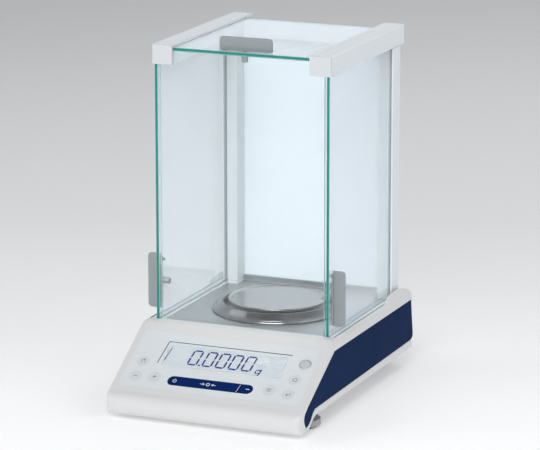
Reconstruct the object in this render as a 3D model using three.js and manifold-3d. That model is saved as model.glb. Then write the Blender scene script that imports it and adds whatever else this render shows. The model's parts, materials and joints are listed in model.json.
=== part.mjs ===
// Analytical balance with a glass draft shield. Millimetres, +Z up, front faces -Y.
// The origin is on the bench, under the centre of the balance.
import * as THREE from 'three';
import { mergeVertices } from 'three/addons/utils/BufferGeometryUtils.js';
import Module from 'manifold-3d';

const wasm = await Module();
wasm.setup();

// Driving dimensions
const BASE_WIDTH = 193;
const BASE_DEPTH = 290;
const TOP_Z = 331;
const PAN_RIM_DIAMETER = 93.4;
const GAP = 0.3;
const HALF_WIDTH = BASE_WIDTH / 2;
const FRONT_Y = -BASE_DEPTH / 2;
const REAR_Y = BASE_DEPTH / 2;

// Housing
const UNDER_Z = 14.5;
const BORDER_Z = 72.8;
const HUMP_Z = 80.2;
const SLOPE_TOP_Y = -60.8;
const SLOPE_TOP_Z = 72.9;
const SLOPE_ANGLE = THREE.MathUtils.degToRad(32.4);
const WALL = 3.2;
const DECK_Z = 68.5;
const LEDGE_Z = 75;
const BOSS_RADIUS = 5;
const SCREW_PLACES = [
  { name: 'front_left', x: -84, y: -40 },
  { name: 'front_right', x: 84, y: -40 },
  { name: 'rear_left', x: -84, y: 96 },
  { name: 'rear_right', x: 84, y: 96 },
];

// Draft shield
const GLASS = 3;
const DOOR_INNER_X = 83.1;
const DOOR_OUTER_X = DOOR_INNER_X + GLASS;
const GLASS_FRONT_Y = -51;
const DOOR_REAR_Y = 110;
const DOOR_BOTTOM_Z = 70.2;
const DOOR_TOP_Z = 316.5;
const RAIL_BOTTOM_Z = 312.8;
const RAIL_INNER_X = 68.3;
const RAIL_OUTER_X = 87.7;
const RAIL_LIP_X = 67.5;
const RAIL_REAR_Y = 133;
const CAP_DEPTH = 2.6;
const TOP_GLASS_Z = 325.8;
const TOP_GLASS_HALF_X = 71.5;
const TOP_GLASS_REAR_Y = 118;
const POST_FRONT_Y = 104;
const POST_REAR_Y = 129;
const POST_INNER_X = 71.3;
const POST_OUTER_X = 81.7;
const REAR_PANEL_Y = 122;
const REAR_PANEL_HALF_X = 75.7;
const TRACK_INNER_X = 81.3;
const TRACK_OUTER_X = 91.3;
const TRACK_FRONT_Y = -52.7;
const TRACK_REAR_Y = 136;
const TRACK_Z = 72.4;
const GUIDE_REAR_Y = 121;
const FLOOR_TOP_Z = 70.2;
const FLOOR_HALF_X = 80.6;
const FLOOR_FRONT_Y = -46.8;
const FLOOR_REAR_Y = 120.2;
const FLOOR_UPSTAND_Z = 75.6;

// Handles
const HANDLE_LENGTH = 52;
const HANDLE_REACH = 12;
const HANDLE_Y = -42;
const HANDLE_THICKNESS = 2.6;
const SIDE_HANDLE_TOP_Z = 132.5;
const TOP_HANDLE_LEFT_X = -25;
const PIN_OFFSETS = [5, 25];
const PIN_RADIUS = 1.4;
const KNOB_RADIUS = 3;
const KNOB_LENGTH = 7;

// Weighing parts
const PAN_Y = 35;
const PAN_TOP_Z = 81;
const RING_TOP_RADIUS = 51.5;
const RING_BOTTOM_RADIUS = 62;
const RING_TOP_Z = 78.4;

// Control panel, measured down the slope from its top edge
const OVERLAY = { top: 12.5, bottom: 81.8, halfTop: 87.5, halfBottom: 89.5, corner: 5, thickness: 0.8 };
const WINDOW = { left: -57, right: 60, top: 27, bottom: 52.5 };
const BAR = { left: -44, right: 40, split: 27.2, centre: 69.6, height: 11 };
const KEY_RADIUS = 6;
const KEYS = [
  { name: 'transfer_key', x: -75.5, down: 50.6 },
  { name: 'minus_key', x: -76.5, down: 68.9 },
  { name: 'plus_key', x: -58, down: 67.4 },
  { name: 'home_key', x: 75, down: 52 },
  { name: 'function_key', x: 55, down: 67.3 },
  { name: 'enter_key', x: 74.4, down: 69.9 },
];
const KEY_LIFT = 0.15;
const KEY_DEPTH = 3.2;
const VIAL = { x: 78.2, down: 32.6, radius: 6 };

// Feet
const FRONT_FOOT = { x: 79, y: -95, wheelRadius: 16, padRadius: 13, studRadius: 4 };
const REAR_FOOT = { x: 64, y: 118, radius: 9 };
const HOOK_COVER = { x: 15, y: PAN_Y, length: 36, width: 24 };

const COLOURS = {
  white: 0xe4e6e9, overlay: 0xd9dfe3, navy: 0x172b4d, bar: 0x0a2a66, glass: 0x9fd8cc, handle: 0xa3aab0,
  aluminium: 0xd3dadd, floor: 0xb2b8ba, steel: 0xc8ccce, rubber: 0x2a2c2e, board: 0x1f5a3c,
  black: 0x202224, screen: 0xc9d3da, rearPanel: 0xe6edf5, tray: 0xb9bdc0,
};

// Solids

function solid(geometry) {
  const bare = geometry.clone();
  bare.deleteAttribute('normal');
  bare.deleteAttribute('uv');
  const merged = mergeVertices(bare, 1e-4);
  const triVerts = Uint32Array.from(merged.index.array);
  const vertProperties = Float32Array.from(merged.attributes.position.array);
  return new wasm.Manifold(new wasm.Mesh({ numProp: 3, vertProperties, triVerts }));
}

function geometryOf(manifold) {
  const { vertProperties, triVerts } = manifold.getMesh();
  const geometry = new THREE.BufferGeometry();
  geometry.setAttribute('position', new THREE.BufferAttribute(vertProperties, 3));
  geometry.setIndex(new THREE.BufferAttribute(triVerts, 1));
  geometry.computeVertexNormals();
  return geometry;
}

const cut = (body, ...tools) => (
  geometryOf(tools.reduce((sum, tool) => sum.subtract(solid(tool)), solid(body))));
const join = (body, ...others) => (
  geometryOf(others.reduce((sum, other) => sum.add(solid(other)), solid(body))));
const common = (body, ...others) => (
  geometryOf(others.reduce((sum, other) => sum.intersect(solid(other)), solid(body))));

// Shapes

const polygon = (points) => new THREE.Shape(points.map(([x, y]) => new THREE.Vector2(x, y)));

function roundedRectangle(left, right, bottom, top, radius) {
  const shape = new THREE.Shape();
  shape.moveTo(left + radius, bottom);
  shape.lineTo(right - radius, bottom);
  shape.absarc(right - radius, bottom + radius, radius, -Math.PI / 2, 0, false);
  shape.absarc(right - radius, top - radius, radius, 0, Math.PI / 2, false);
  shape.absarc(left + radius, top - radius, radius, Math.PI / 2, Math.PI, false);
  shape.absarc(left + radius, bottom + radius, radius, Math.PI, 1.5 * Math.PI, false);
  return shape;
}

const AXES = {
  x: [new THREE.Vector3(0, 1, 0), new THREE.Vector3(0, 0, 1), new THREE.Vector3(1, 0, 0)],
  y: [new THREE.Vector3(0, 0, 1), new THREE.Vector3(1, 0, 0), new THREE.Vector3(0, 1, 0)],
  z: [new THREE.Vector3(1, 0, 0), new THREE.Vector3(0, 1, 0), new THREE.Vector3(0, 0, 1)],
};

// A shape's own axes are (Y, Z) for axis x, (Z, X) for axis y and (X, Y) for axis z.
function extrude(shape, axis, from, to, curveSegments = 6) {
  const options = { depth: to - from, bevelEnabled: false, curveSegments };
  const geometry = new THREE.ExtrudeGeometry(shape, options);
  geometry.translate(0, 0, from);
  return geometry.applyMatrix4(new THREE.Matrix4().makeBasis(...AXES[axis]));
}

function box(x0, x1, y0, y1, z0, z1) {
  const geometry = new THREE.BoxGeometry(x1 - x0, y1 - y0, z1 - z0);
  return geometry.translate((x0 + x1) / 2, (y0 + y1) / 2, (z0 + z1) / 2);
}

function disc(x, y, z0, z1, radius, sides = 24) {
  const geometry = new THREE.CylinderGeometry(radius, radius, z1 - z0, sides);
  return geometry.rotateX(Math.PI / 2).translate(x, y, (z0 + z1) / 2);
}

function pinAlongX(x0, x1, y, z, radius, sides = 16) {
  const geometry = new THREE.CylinderGeometry(radius, radius, x1 - x0, sides);
  return geometry.rotateZ(Math.PI / 2).translate((x0 + x1) / 2, y, z);
}

function pinAlongY(x, y0, y1, z, radius, sides = 16) {
  const geometry = new THREE.CylinderGeometry(radius, radius, y1 - y0, sides);
  return geometry.translate(x, (y0 + y1) / 2, z);
}

function turned(x, y, profile, sides = 48) {
  const points = profile.map(([radius, z]) => new THREE.Vector2(radius, z));
  return new THREE.LatheGeometry(points, sides).rotateX(Math.PI / 2).translate(x, y, 0);
}

// Turns a right-hand piece into its left-hand twin.
function mirrored(geometry) {
  const twin = geometry.clone().applyMatrix4(new THREE.Matrix4().makeScale(-1, 1, 1));
  if (!twin.index) {
    twin.setIndex([...Array(twin.attributes.position.count).keys()]);
  }
  const corners = twin.index.array;
  for (let i = 0; i < corners.length; i += 3) {
    [corners[i + 1], corners[i + 2]] = [corners[i + 2], corners[i + 1]];
  }
  twin.computeVertexNormals();
  return twin;
}

const sided = (geometry, side) => (side === 'left' ? mirrored(geometry) : geometry);

// Panel frame: x to the right, y up the slope, z out of the panel
const panelMatrix = new THREE.Matrix4().makeRotationX(SLOPE_ANGLE)
  .setPosition(0, SLOPE_TOP_Y, SLOPE_TOP_Z);
const onPanel = (geometry) => geometry.applyMatrix4(panelMatrix);

// Scene

const group = new THREE.Group();

function add(name, geometry, color, { roughness = 0.45, metalness = 0, opacity = 1 } = {}) {
  const transparent = opacity < 1;
  const material = new THREE.MeshStandardMaterial({ color, roughness, metalness, opacity, transparent });
  const mesh = new THREE.Mesh(geometry, material);
  mesh.name = name;
  group.add(mesh);
}

// Housing

function housingProfile() {
  const slopeZ = (y) => SLOPE_TOP_Z + (y - SLOPE_TOP_Y) * Math.tan(SLOPE_ANGLE);
  const shape = new THREE.Shape();
  shape.moveTo(-104, UNDER_Z);
  shape.lineTo(136, UNDER_Z);
  shape.quadraticCurveTo(REAR_Y, UNDER_Z + 1, REAR_Y, 24);
  shape.lineTo(143.6, 60);
  shape.quadraticCurveTo(142.4, 71.5, 133, 74.4);
  shape.lineTo(122, 77.6);
  shape.quadraticCurveTo(112, HUMP_Z + 0.3, 102, HUMP_Z - 0.4);
  shape.lineTo(88, HUMP_Z - 1);
  shape.quadraticCurveTo(81, HUMP_Z - 1.6, 79, 76);
  shape.lineTo(76, BORDER_Z);
  shape.lineTo(-59, BORDER_Z);
  shape.quadraticCurveTo(-61.5, BORDER_Z - 0.2, -64, slopeZ(-64));
  shape.lineTo(-135, slopeZ(-135));
  shape.quadraticCurveTo(FRONT_Y - 1, slopeZ(-139), FRONT_Y, 12);
  shape.quadraticCurveTo(-144.5, 4.5, -135, 3.8);
  shape.lineTo(-129, 4);
  shape.quadraticCurveTo(-123, 4.6, -119, 7.6);
  shape.quadraticCurveTo(-113, 13.4, -104, UNDER_Z);
  return shape;
}

// Half widths as (Z, X): the sides lean in above the side panels.
function housingSection(inset) {
  const right = [[0, HALF_WIDTH], [62, HALF_WIDTH], [69, 95.6], [73, 94.2], [75, 92.9], [90, 91.9]];
  const rightHalf = right.map(([z, x]) => [z, x - inset]);
  const leftHalf = rightHalf.map(([z, x]) => [z, -x]).reverse();
  return polygon([...leftHalf, ...rightHalf]);
}

function cavity() {
  const drop = WALL / Math.cos(SLOPE_ANGLE);
  const roofZ = DECK_Z - WALL;
  const slopeFootY = -126;
  const slopeFootZ = SLOPE_TOP_Z - drop + (slopeFootY - SLOPE_TOP_Y) * Math.tan(SLOPE_ANGLE);
  const roofFrontY = SLOPE_TOP_Y - (SLOPE_TOP_Z - drop - roofZ) / Math.tan(SLOPE_ANGLE);
  const profile = polygon([
    [-103.4, 0], [138, 0], [141.4, 24], [137.2, 62], [134, roofZ], [roofFrontY, roofZ],
    [slopeFootY, slopeFootZ], [slopeFootY, 23], [-116, 18], [-103.4, 18],
  ]);
  const length = extrude(profile, 'x', -HALF_WIDTH, HALF_WIDTH);
  return common(length, extrude(housingSection(WALL + 1.4), 'y', FRONT_Y, REAR_Y));
}

function sidePanelShape(inset) {
  const shape = new THREE.Shape();
  const top = 63 - inset;
  const foot = 22 + inset;
  shape.moveTo(-109 + inset, foot);
  shape.lineTo(133 - inset, foot + 1.5);
  shape.quadraticCurveTo(141 - inset, foot + 1.5, 140.5 - inset, foot + 7);
  shape.lineTo(135 - inset, top);
  shape.lineTo(-63 - inset / 2, top);
  shape.lineTo(-125, 28.5 - inset);
  shape.lineTo(-131 + inset, 24.6 - inset);
  shape.quadraticCurveTo(-136 + inset, 21.5, -135 + inset, 16);
  shape.lineTo(-131.5 + inset, 10 + inset);
  shape.quadraticCurveTo(-124, 9.5 + inset, -118, 16 + inset);
  shape.quadraticCurveTo(-114, 20.5 + inset, -109 + inset, foot);
  return shape;
}

const sidePanel = (inset, depth) => extrude(sidePanelShape(inset), 'x', HALF_WIDTH - depth, HALF_WIDTH);

function chamberRecess() {
  return [
    box(-FLOOR_HALF_X - 0.4, FLOOR_HALF_X + 0.4, FLOOR_FRONT_Y - 0.4, POST_FRONT_Y - GAP, DECK_Z, 100),
    box(-POST_INNER_X + GAP, POST_INNER_X - GAP, 0, FLOOR_REAR_Y + 0.4, DECK_Z, 100),
    box(-DOOR_INNER_X, DOOR_INNER_X, GLASS_FRONT_Y - GAP, FLOOR_FRONT_Y, DECK_Z, 100),
    box(-POST_OUTER_X, POST_OUTER_X, 100, REAR_PANEL_Y + GLASS + GAP, LEDGE_Z, 100),
  ];
}

function sideRecesses(side) {
  const trackSlot = box(
    TRACK_INNER_X - GAP, TRACK_OUTER_X + GAP, TRACK_FRONT_Y - GAP, REAR_Y + 1, DECK_Z - GAP, 100);
  const postSeat = box(REAR_PANEL_HALF_X, DOOR_INNER_X, POST_FRONT_Y - GAP, POST_REAR_Y + GAP, BORDER_Z, 100);
  const postToeSeat = box(
    POST_INNER_X - GAP, REAR_PANEL_HALF_X + 1, POST_FRONT_Y - GAP, REAR_PANEL_Y, BORDER_Z, 100);
  const panelRecess = extrude(sidePanelShape(-GAP), 'x', HALF_WIDTH - 1.5, HALF_WIDTH + 5);
  return [trackSlot, postSeat, postToeSeat, panelRecess].map((geometry) => sided(geometry, side));
}

function overlayShape(inset) {
  const { top, bottom, halfTop, halfBottom, corner } = OVERLAY;
  const shape = new THREE.Shape();
  const low = -bottom + inset;
  const high = -top - inset;
  shape.moveTo(-halfBottom + inset + corner, low);
  shape.lineTo(halfBottom - inset - corner, low);
  shape.quadraticCurveTo(halfBottom - inset, low, halfBottom - inset, low + corner);
  shape.lineTo(halfTop - inset, high - corner);
  shape.quadraticCurveTo(halfTop - inset, high, halfTop - inset - corner, high);
  shape.lineTo(-halfTop + inset + corner, high);
  shape.quadraticCurveTo(-halfTop + inset, high, -halfTop + inset, high - corner);
  shape.lineTo(-halfBottom + inset, low + corner);
  shape.quadraticCurveTo(-halfBottom + inset, low, -halfBottom + inset + corner, low);
  return shape;
}

const windowShape = (inset) => roundedRectangle(
  WINDOW.left + inset, WINDOW.right - inset, -WINDOW.bottom + inset, -WINDOW.top - inset, 1.5);

function barShape(left, right, inset) {
  const middle = -BAR.centre;
  const half = BAR.height / 2 - inset;
  const shape = new THREE.Shape();
  const roundLeft = left === BAR.left;
  if (roundLeft) {
    shape.absarc(left + BAR.height / 2, middle, half, Math.PI / 2, 1.5 * Math.PI, false);
    shape.lineTo(right - inset - 1, middle - half);
    shape.lineTo(right - inset + 1, middle + half);
  } else {
    shape.absarc(right - BAR.height / 2, middle, half, -Math.PI / 2, Math.PI / 2, false);
    shape.lineTo(left + inset + 1, middle + half);
    shape.lineTo(left + inset - 1, middle - half);
  }
  return shape;
}

function keyHoles(inset) {
  const round = KEYS.map(({ x, down }) => disc(x, -down, -10, 5, KEY_RADIUS - inset));
  const bar = extrude(roundedRectangle(
    BAR.left + inset, BAR.right - inset, -BAR.centre - BAR.height / 2 + inset,
    -BAR.centre + BAR.height / 2 - inset, BAR.height / 2 - inset - 0.01), 'z', -10, 5, 12);
  return [...round, bar];
}

const vialHole = (radius) => disc(VIAL.x, -VIAL.down, -12, 5, radius);

const SOCKETS = {
  power: { x: -52, z: 38, halfWidth: 6, halfHeight: 5.5 },
  serial: { x: 40, z: 38, halfWidth: 15.5, halfHeight: 6.25 },
};

function socketCutout({ x, z, halfWidth, halfHeight }) {
  const width = halfWidth + GAP;
  const height = halfHeight + GAP;
  return box(x - width, x + width, 120, REAR_Y + 5, z - height, z + height);
}

function topHousing() {
  const outline = roundedRectangle(-HALF_WIDTH, HALF_WIDTH, FRONT_Y, REAR_Y, 9);
  const outer = common(
    extrude(housingProfile(), 'x', -HALF_WIDTH, HALF_WIDTH, 5),
    extrude(housingSection(0), 'y', FRONT_Y, REAR_Y),
    extrude(outline, 'z', 0, 100, 6),
  );
  const panelCuts = [
    extrude(overlayShape(-GAP), 'z', -OVERLAY.thickness - GAP, 5),
    extrude(windowShape(-GAP), 'z', -10, 5),
    ...keyHoles(-GAP),
    vialHole(VIAL.radius + GAP),
  ].map(onPanel);
  const shell = cut(
    outer, cavity(), ...chamberRecess(), ...sideRecesses('left'), ...sideRecesses('right'), ...panelCuts,
    disc(0, PAN_Y, 50, 90, 8), socketCutout(SOCKETS.power), socketCutout(SOCKETS.serial),
  );
  const bosses = SCREW_PLACES.map(({ x, y }) => disc(x, y, 18.6, DECK_Z - WALL + 0.5, BOSS_RADIUS, 16));
  const pilots = SCREW_PLACES.map(({ x, y }) => disc(x, y, 10, 42, 1.8, 12));
  return cut(join(shell, ...bosses), ...pilots);
}

function addHousing() {
  add('top_housing', topHousing(), COLOURS.white, { roughness: 0.35 });
  const panel = sidePanel(0, 1.2);
  add('right_side_panel', panel, COLOURS.navy, { roughness: 0.3 });
  add('left_side_panel', mirrored(panel), COLOURS.navy, { roughness: 0.3 });
}

// Base tray, screws and feet

function baseTray() {
  const plate = extrude(roundedRectangle(-89.4, 89.4, -100, 137, 6), 'z', UNDER_Z + 0.2, 18);
  const sides = [-1, 1];
  const footBosses = sides.map((s) => disc(s * FRONT_FOOT.x, FRONT_FOOT.y, UNDER_Z + 0.2, 30, 8));
  const studHole = FRONT_FOOT.studRadius + GAP;
  const studHoles = sides.map((s) => disc(s * FRONT_FOOT.x, FRONT_FOOT.y, 5, 40, studHole));
  const rearHoles = sides.map((s) => disc(s * REAR_FOOT.x, REAR_FOOT.y, 5, 40, 3 + GAP, 16));
  const screwHoles = SCREW_PLACES.map(({ x, y }) => disc(x, y, 5, 40, 2, 12));
  const hookHole = disc(0, PAN_Y, 5, 40, 9);
  const pivotHole = disc(HOOK_COVER.x, HOOK_COVER.y, 5, 40, 2 + GAP, 16);
  const holes = [...studHoles, ...rearHoles, ...screwHoles, hookHole, pivotHole];
  return cut(join(plate, ...footBosses), ...holes);
}

function footWheel(x) {
  const { y, wheelRadius, studRadius } = FRONT_FOOT;
  const profile = [
    [0, 2], [wheelRadius - 1, 2], [wheelRadius, 3], [wheelRadius, 7], [wheelRadius - 1, 8], [9, 8.2],
    [8, 11.4], [studRadius, 11.6], [studRadius, 27], [studRadius - 1, 28], [0, 28],
  ];
  const grips = 16;
  const notches = [];
  for (let i = 0; i < grips; i += 1) {
    const angle = (2 * Math.PI * i) / grips;
    const reach = wheelRadius + 1;
    notches.push(disc(x + reach * Math.cos(angle), y + reach * Math.sin(angle), 0, 8.2, 1.6, 8));
  }
  return cut(turned(x, y, profile, 32), ...notches);
}

function addBase() {
  add('base_tray', baseTray(), COLOURS.tray);
  SCREW_PLACES.forEach(({ name, x, y }) => {
    const profile = [[0, 12.6], [3, 12.6], [3.8, 13.2], [3.8, 14.4], [1.5, 14.4], [1.5, 36], [0, 37]];
    add(`${name}_base_screw`, turned(x, y, profile, 16), COLOURS.steel, { roughness: 0.3, metalness: 1 });
  });
  ['left', 'right'].forEach((side) => {
    const sign = side === 'left' ? -1 : 1;
    const frontX = sign * FRONT_FOOT.x;
    const { padRadius } = FRONT_FOOT;
    const padProfile = [[0, 0], [padRadius - 1, 0], [padRadius, 1], [padRadius, 1.7], [0, 1.7]];
    const { radius } = REAR_FOOT;
    const rearProfile = [
      [0, 0], [radius - 1, 0], [radius, 1], [radius + 1, 14.3], [3, 14.3], [3, 19], [0, 19],
    ];
    const soft = { roughness: 0.8 };
    add(`${side}_foot_wheel`, footWheel(frontX), COLOURS.aluminium);
    add(`${side}_foot_pad`, turned(frontX, FRONT_FOOT.y, padProfile, 32), COLOURS.rubber, soft);
    const rearFoot = turned(sign * REAR_FOOT.x, REAR_FOOT.y, rearProfile, 32);
    add(`${side}_rear_foot`, rearFoot, COLOURS.rubber, soft);
  });
  const { x, y, length, width } = HOOK_COVER;
  const plateShape = roundedRectangle(x + 6 - length, x + 6, y - width / 2, y + width / 2, 5);
  const plate = extrude(plateShape, 'z', 12.6, 14.2);
  add('hook_cover', join(plate, disc(x, y, 13, 19, 2, 16)), COLOURS.tray);
}

// Control panel

function addControlPanel() {
  const sheet = extrude(overlayShape(0), 'z', -OVERLAY.thickness, 0);
  const holes = [extrude(windowShape(-GAP), 'z', -10, 5), ...keyHoles(-GAP), vialHole(VIAL.radius + GAP)];
  const overlay = cut(sheet, ...holes);
  add('control_overlay', onPanel(overlay), COLOURS.overlay);
  add('display_window', onPanel(extrude(windowShape(0), 'z', -2, 0)), COLOURS.screen, { opacity: 0.5 });
  const { left, right, top, bottom } = WINDOW;
  const frame = box(left - 1, right + 1, -bottom - 1, -top + 1, -9, -WALL - 0.8);
  const cell = box(left + 1, right - 1, -bottom + 1, -top - 1, -5, -2.4);
  add('display_module', onPanel(join(frame, cell)), COLOURS.screen);
  add('control_board', onPanel(box(-78, 84, -74, -24, -11.2, -9.6)), COLOURS.board);
  const tareShape = barShape(BAR.left, BAR.split - GAP, 0);
  const clearShape = barShape(BAR.split + GAP, BAR.right, 0);
  add('tare_key', onPanel(extrude(tareShape, 'z', -KEY_DEPTH, KEY_LIFT, 12)), COLOURS.bar);
  add('clear_key', onPanel(extrude(clearShape, 'z', -KEY_DEPTH, KEY_LIFT, 12)), COLOURS.bar);
  KEYS.forEach(({ name, x, down }) => {
    add(name, onPanel(disc(x, -down, -KEY_DEPTH, KEY_LIFT, KEY_RADIUS)), COLOURS.overlay);
  });
  const { radius } = VIAL;
  const inner = radius - 1;
  const cup = [
    [0, -6], [radius - 0.6, -6], [radius, -5.4], [radius, 0.5], [inner, 0.5], [inner, -3.6], [0, -3.6],
  ];
  const lens = [[0, -3.2], [radius - 1.3, -3.2], [radius - 1.3, 0.4], [radius - 2.6, 0.8], [0, 1]];
  add('level_vial_cup', onPanel(turned(VIAL.x, -VIAL.down, cup, 32)), COLOURS.handle);
  add('level_vial_glass', onPanel(turned(VIAL.x, -VIAL.down, lens, 32)), COLOURS.glass, { opacity: 0.5 });
}

// Weighing parts

function floorShape() {
  const inner = POST_INNER_X - 2 * GAP;
  return polygon([
    [-FLOOR_HALF_X, FLOOR_FRONT_Y], [FLOOR_HALF_X, FLOOR_FRONT_Y], [FLOOR_HALF_X, POST_FRONT_Y - 2 * GAP],
    [inner, POST_FRONT_Y - 2 * GAP], [inner, FLOOR_REAR_Y], [-inner, FLOOR_REAR_Y],
    [-inner, POST_FRONT_Y - 2 * GAP], [-FLOOR_HALF_X, POST_FRONT_Y - 2 * GAP],
  ]);
}

function addWeighingParts() {
  const sheetBottom = DECK_Z + GAP;
  const sheetThickness = FLOOR_TOP_Z - sheetBottom;
  const upstandHalf = POST_INNER_X - 2 * GAP;
  const upstand = box(
    -upstandHalf, upstandHalf, FLOOR_REAR_Y - sheetThickness, FLOOR_REAR_Y, sheetBottom, FLOOR_UPSTAND_Z);
  const sheet = extrude(floorShape(), 'z', sheetBottom, FLOOR_TOP_Z);
  const floor = cut(join(sheet, upstand), disc(0, PAN_Y, 60, 90, 9));
  add('floor_plate', floor, COLOURS.floor, { roughness: 0.4, metalness: 0.8 });
  const steel = { roughness: 0.2, metalness: 1 };
  const lip = RING_TOP_RADIUS;
  const foot = RING_BOTTOM_RADIUS;
  const low = FLOOR_TOP_Z + GAP;
  const ring = [
    [lip + 1, low], [foot, low], [foot, low + 1.3], [foot - 1.6, low + 2.5], [foot - 3, low + 3.1],
    [foot - 4.6, low + 3.3], [lip + 2.5, RING_TOP_Z - 1], [lip + 1.3, RING_TOP_Z], [lip, RING_TOP_Z],
    [lip - 0.6, RING_TOP_Z - 0.8], [lip, RING_TOP_Z - 1.8], [lip + 3.4, low + 2.4], [lip + 1.6, low + 1.6],
    [lip + 1, low],
  ];
  add('draft_ring', turned(0, PAN_Y, ring, 64), COLOURS.steel, steel);
  const r = PAN_RIM_DIAMETER / 2;
  const pan = [
    [0, 76], [3.3, 76], [3.3, 74], [6.5, 74], [6.5, 78.4], [r - 2.4, 78.4], [r - 0.6, 78.8], [r, 79.8],
    [r - 0.6, 80.8], [r - 1.6, PAN_TOP_Z], [r - 2.6, 80.6], [r - 4, 79.8], [0, 79.8],
  ];
  add('weighing_pan', turned(0, PAN_Y, pan, 64), COLOURS.steel, steel);
  const carrier = [[0, 58.8], [7, 58.8], [7, 61], [4, 61.5], [4, 70], [2.9, 72], [2.9, 75.7], [0, 75.7]];
  add('pan_carrier', turned(0, PAN_Y, carrier, 24), COLOURS.steel, steel);
}

function weighingCell() {
  const block = box(-22, 22, -30, 62, 24, 58);
  const base = box(-34, 34, -38, 116, 20, 24);
  const slots = [box(-30, 30, -22, 44, 30, 32), box(-30, 30, -22, 44, 50, 52), box(-30, 30, -10, 34, 36, 46)];
  const feet = [-1, 1].map((s) => box(s * 28 - 5, s * 28 + 5, -30, 100, 18.4, 22));
  const lever = box(-5, 5, 50, 96, 54, 58);
  const hookWay = disc(0, PAN_Y, 10, 30, 8, 16);
  return cut(join(block, base, ...feet, lever), ...slots, hookWay);
}

function powerJack() {
  const { x, z, halfWidth, halfHeight } = SOCKETS.power;
  const body = box(x - halfWidth, x + halfWidth, 130, 141.5, z - halfHeight, z + halfHeight);
  return join(cut(body, pinAlongY(x, 133, 145, z, 3.2)), pinAlongY(x, 132, 140.5, z, 0.9, 12));
}

function serialSocket() {
  const { x, z, halfWidth, halfHeight } = SOCKETS.serial;
  const body = box(x - halfWidth, x + halfWidth, 132, 141, z - halfHeight, z + halfHeight);
  const recess = box(x - 9, x + 9, 138, 145, z - 4.4, z + 4.4);
  return cut(body, recess);
}

function addWorks() {
  add('weighing_cell', weighingCell(), COLOURS.aluminium, { roughness: 0.4, metalness: 0.9 });
  const pot = [[0, 24.4], [19, 24.4], [19, 50], [15, 50], [15, 28], [10, 28], [10, 50], [0, 50]];
  add('magnet_pot', turned(0, 86, pot, 32), COLOURS.steel);
  add('main_board', box(-78, -38, -70, 84, 27, 28.6), COLOURS.board);
  add('power_jack', powerJack(), COLOURS.black);
  add('serial_socket', serialSocket(), COLOURS.steel);
}

// Draft shield

function railSection() {
  const grooveInner = DOOR_INNER_X - 0.4;
  const grooveOuter = DOOR_OUTER_X + 0.4;
  const topGroove = TOP_GLASS_HALF_X + 0.5;
  const shelf = TOP_GLASS_Z - GAP;
  const lip = TOP_GLASS_Z + GLASS + GAP;
  return polygon([
    [RAIL_BOTTOM_Z, RAIL_INNER_X], [shelf, RAIL_INNER_X], [shelf, topGroove], [lip, topGroove],
    [lip, RAIL_LIP_X],
    [TOP_Z, RAIL_LIP_X], [TOP_Z, RAIL_OUTER_X - 1], [TOP_Z - 1, RAIL_OUTER_X], [RAIL_BOTTOM_Z, RAIL_OUTER_X],
    [RAIL_BOTTOM_Z, grooveOuter], [DOOR_TOP_Z + 0.5, grooveOuter], [DOOR_TOP_Z + 0.5, grooveInner],
    [RAIL_BOTTOM_Z, grooveInner],
  ]);
}

function capShape() {
  const rear = GLASS_FRONT_Y - 0.4;
  const front = rear - CAP_DEPTH;
  const shape = new THREE.Shape();
  shape.moveTo(RAIL_LIP_X, front);
  shape.lineTo(RAIL_OUTER_X - 2, front);
  shape.quadraticCurveTo(RAIL_OUTER_X + 0.3, front, RAIL_OUTER_X + 0.3, rear);
  shape.lineTo(RAIL_LIP_X, rear);
  return shape;
}

function frontGlass() {
  const half = TRACK_INNER_X - GAP;
  const inner = RAIL_INNER_X - GAP;
  const low = DECK_Z + GAP;
  const high = TOP_GLASS_Z - 0.4;
  const shoulder = RAIL_BOTTOM_Z - GAP;
  const outline = polygon([
    [low, -half], [shoulder, -half], [shoulder, -inner], [high, -inner],
    [high, inner], [shoulder, inner], [shoulder, half], [low, half],
  ]);
  return extrude(outline, 'y', GLASS_FRONT_Y, GLASS_FRONT_Y + GLASS);
}

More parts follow.
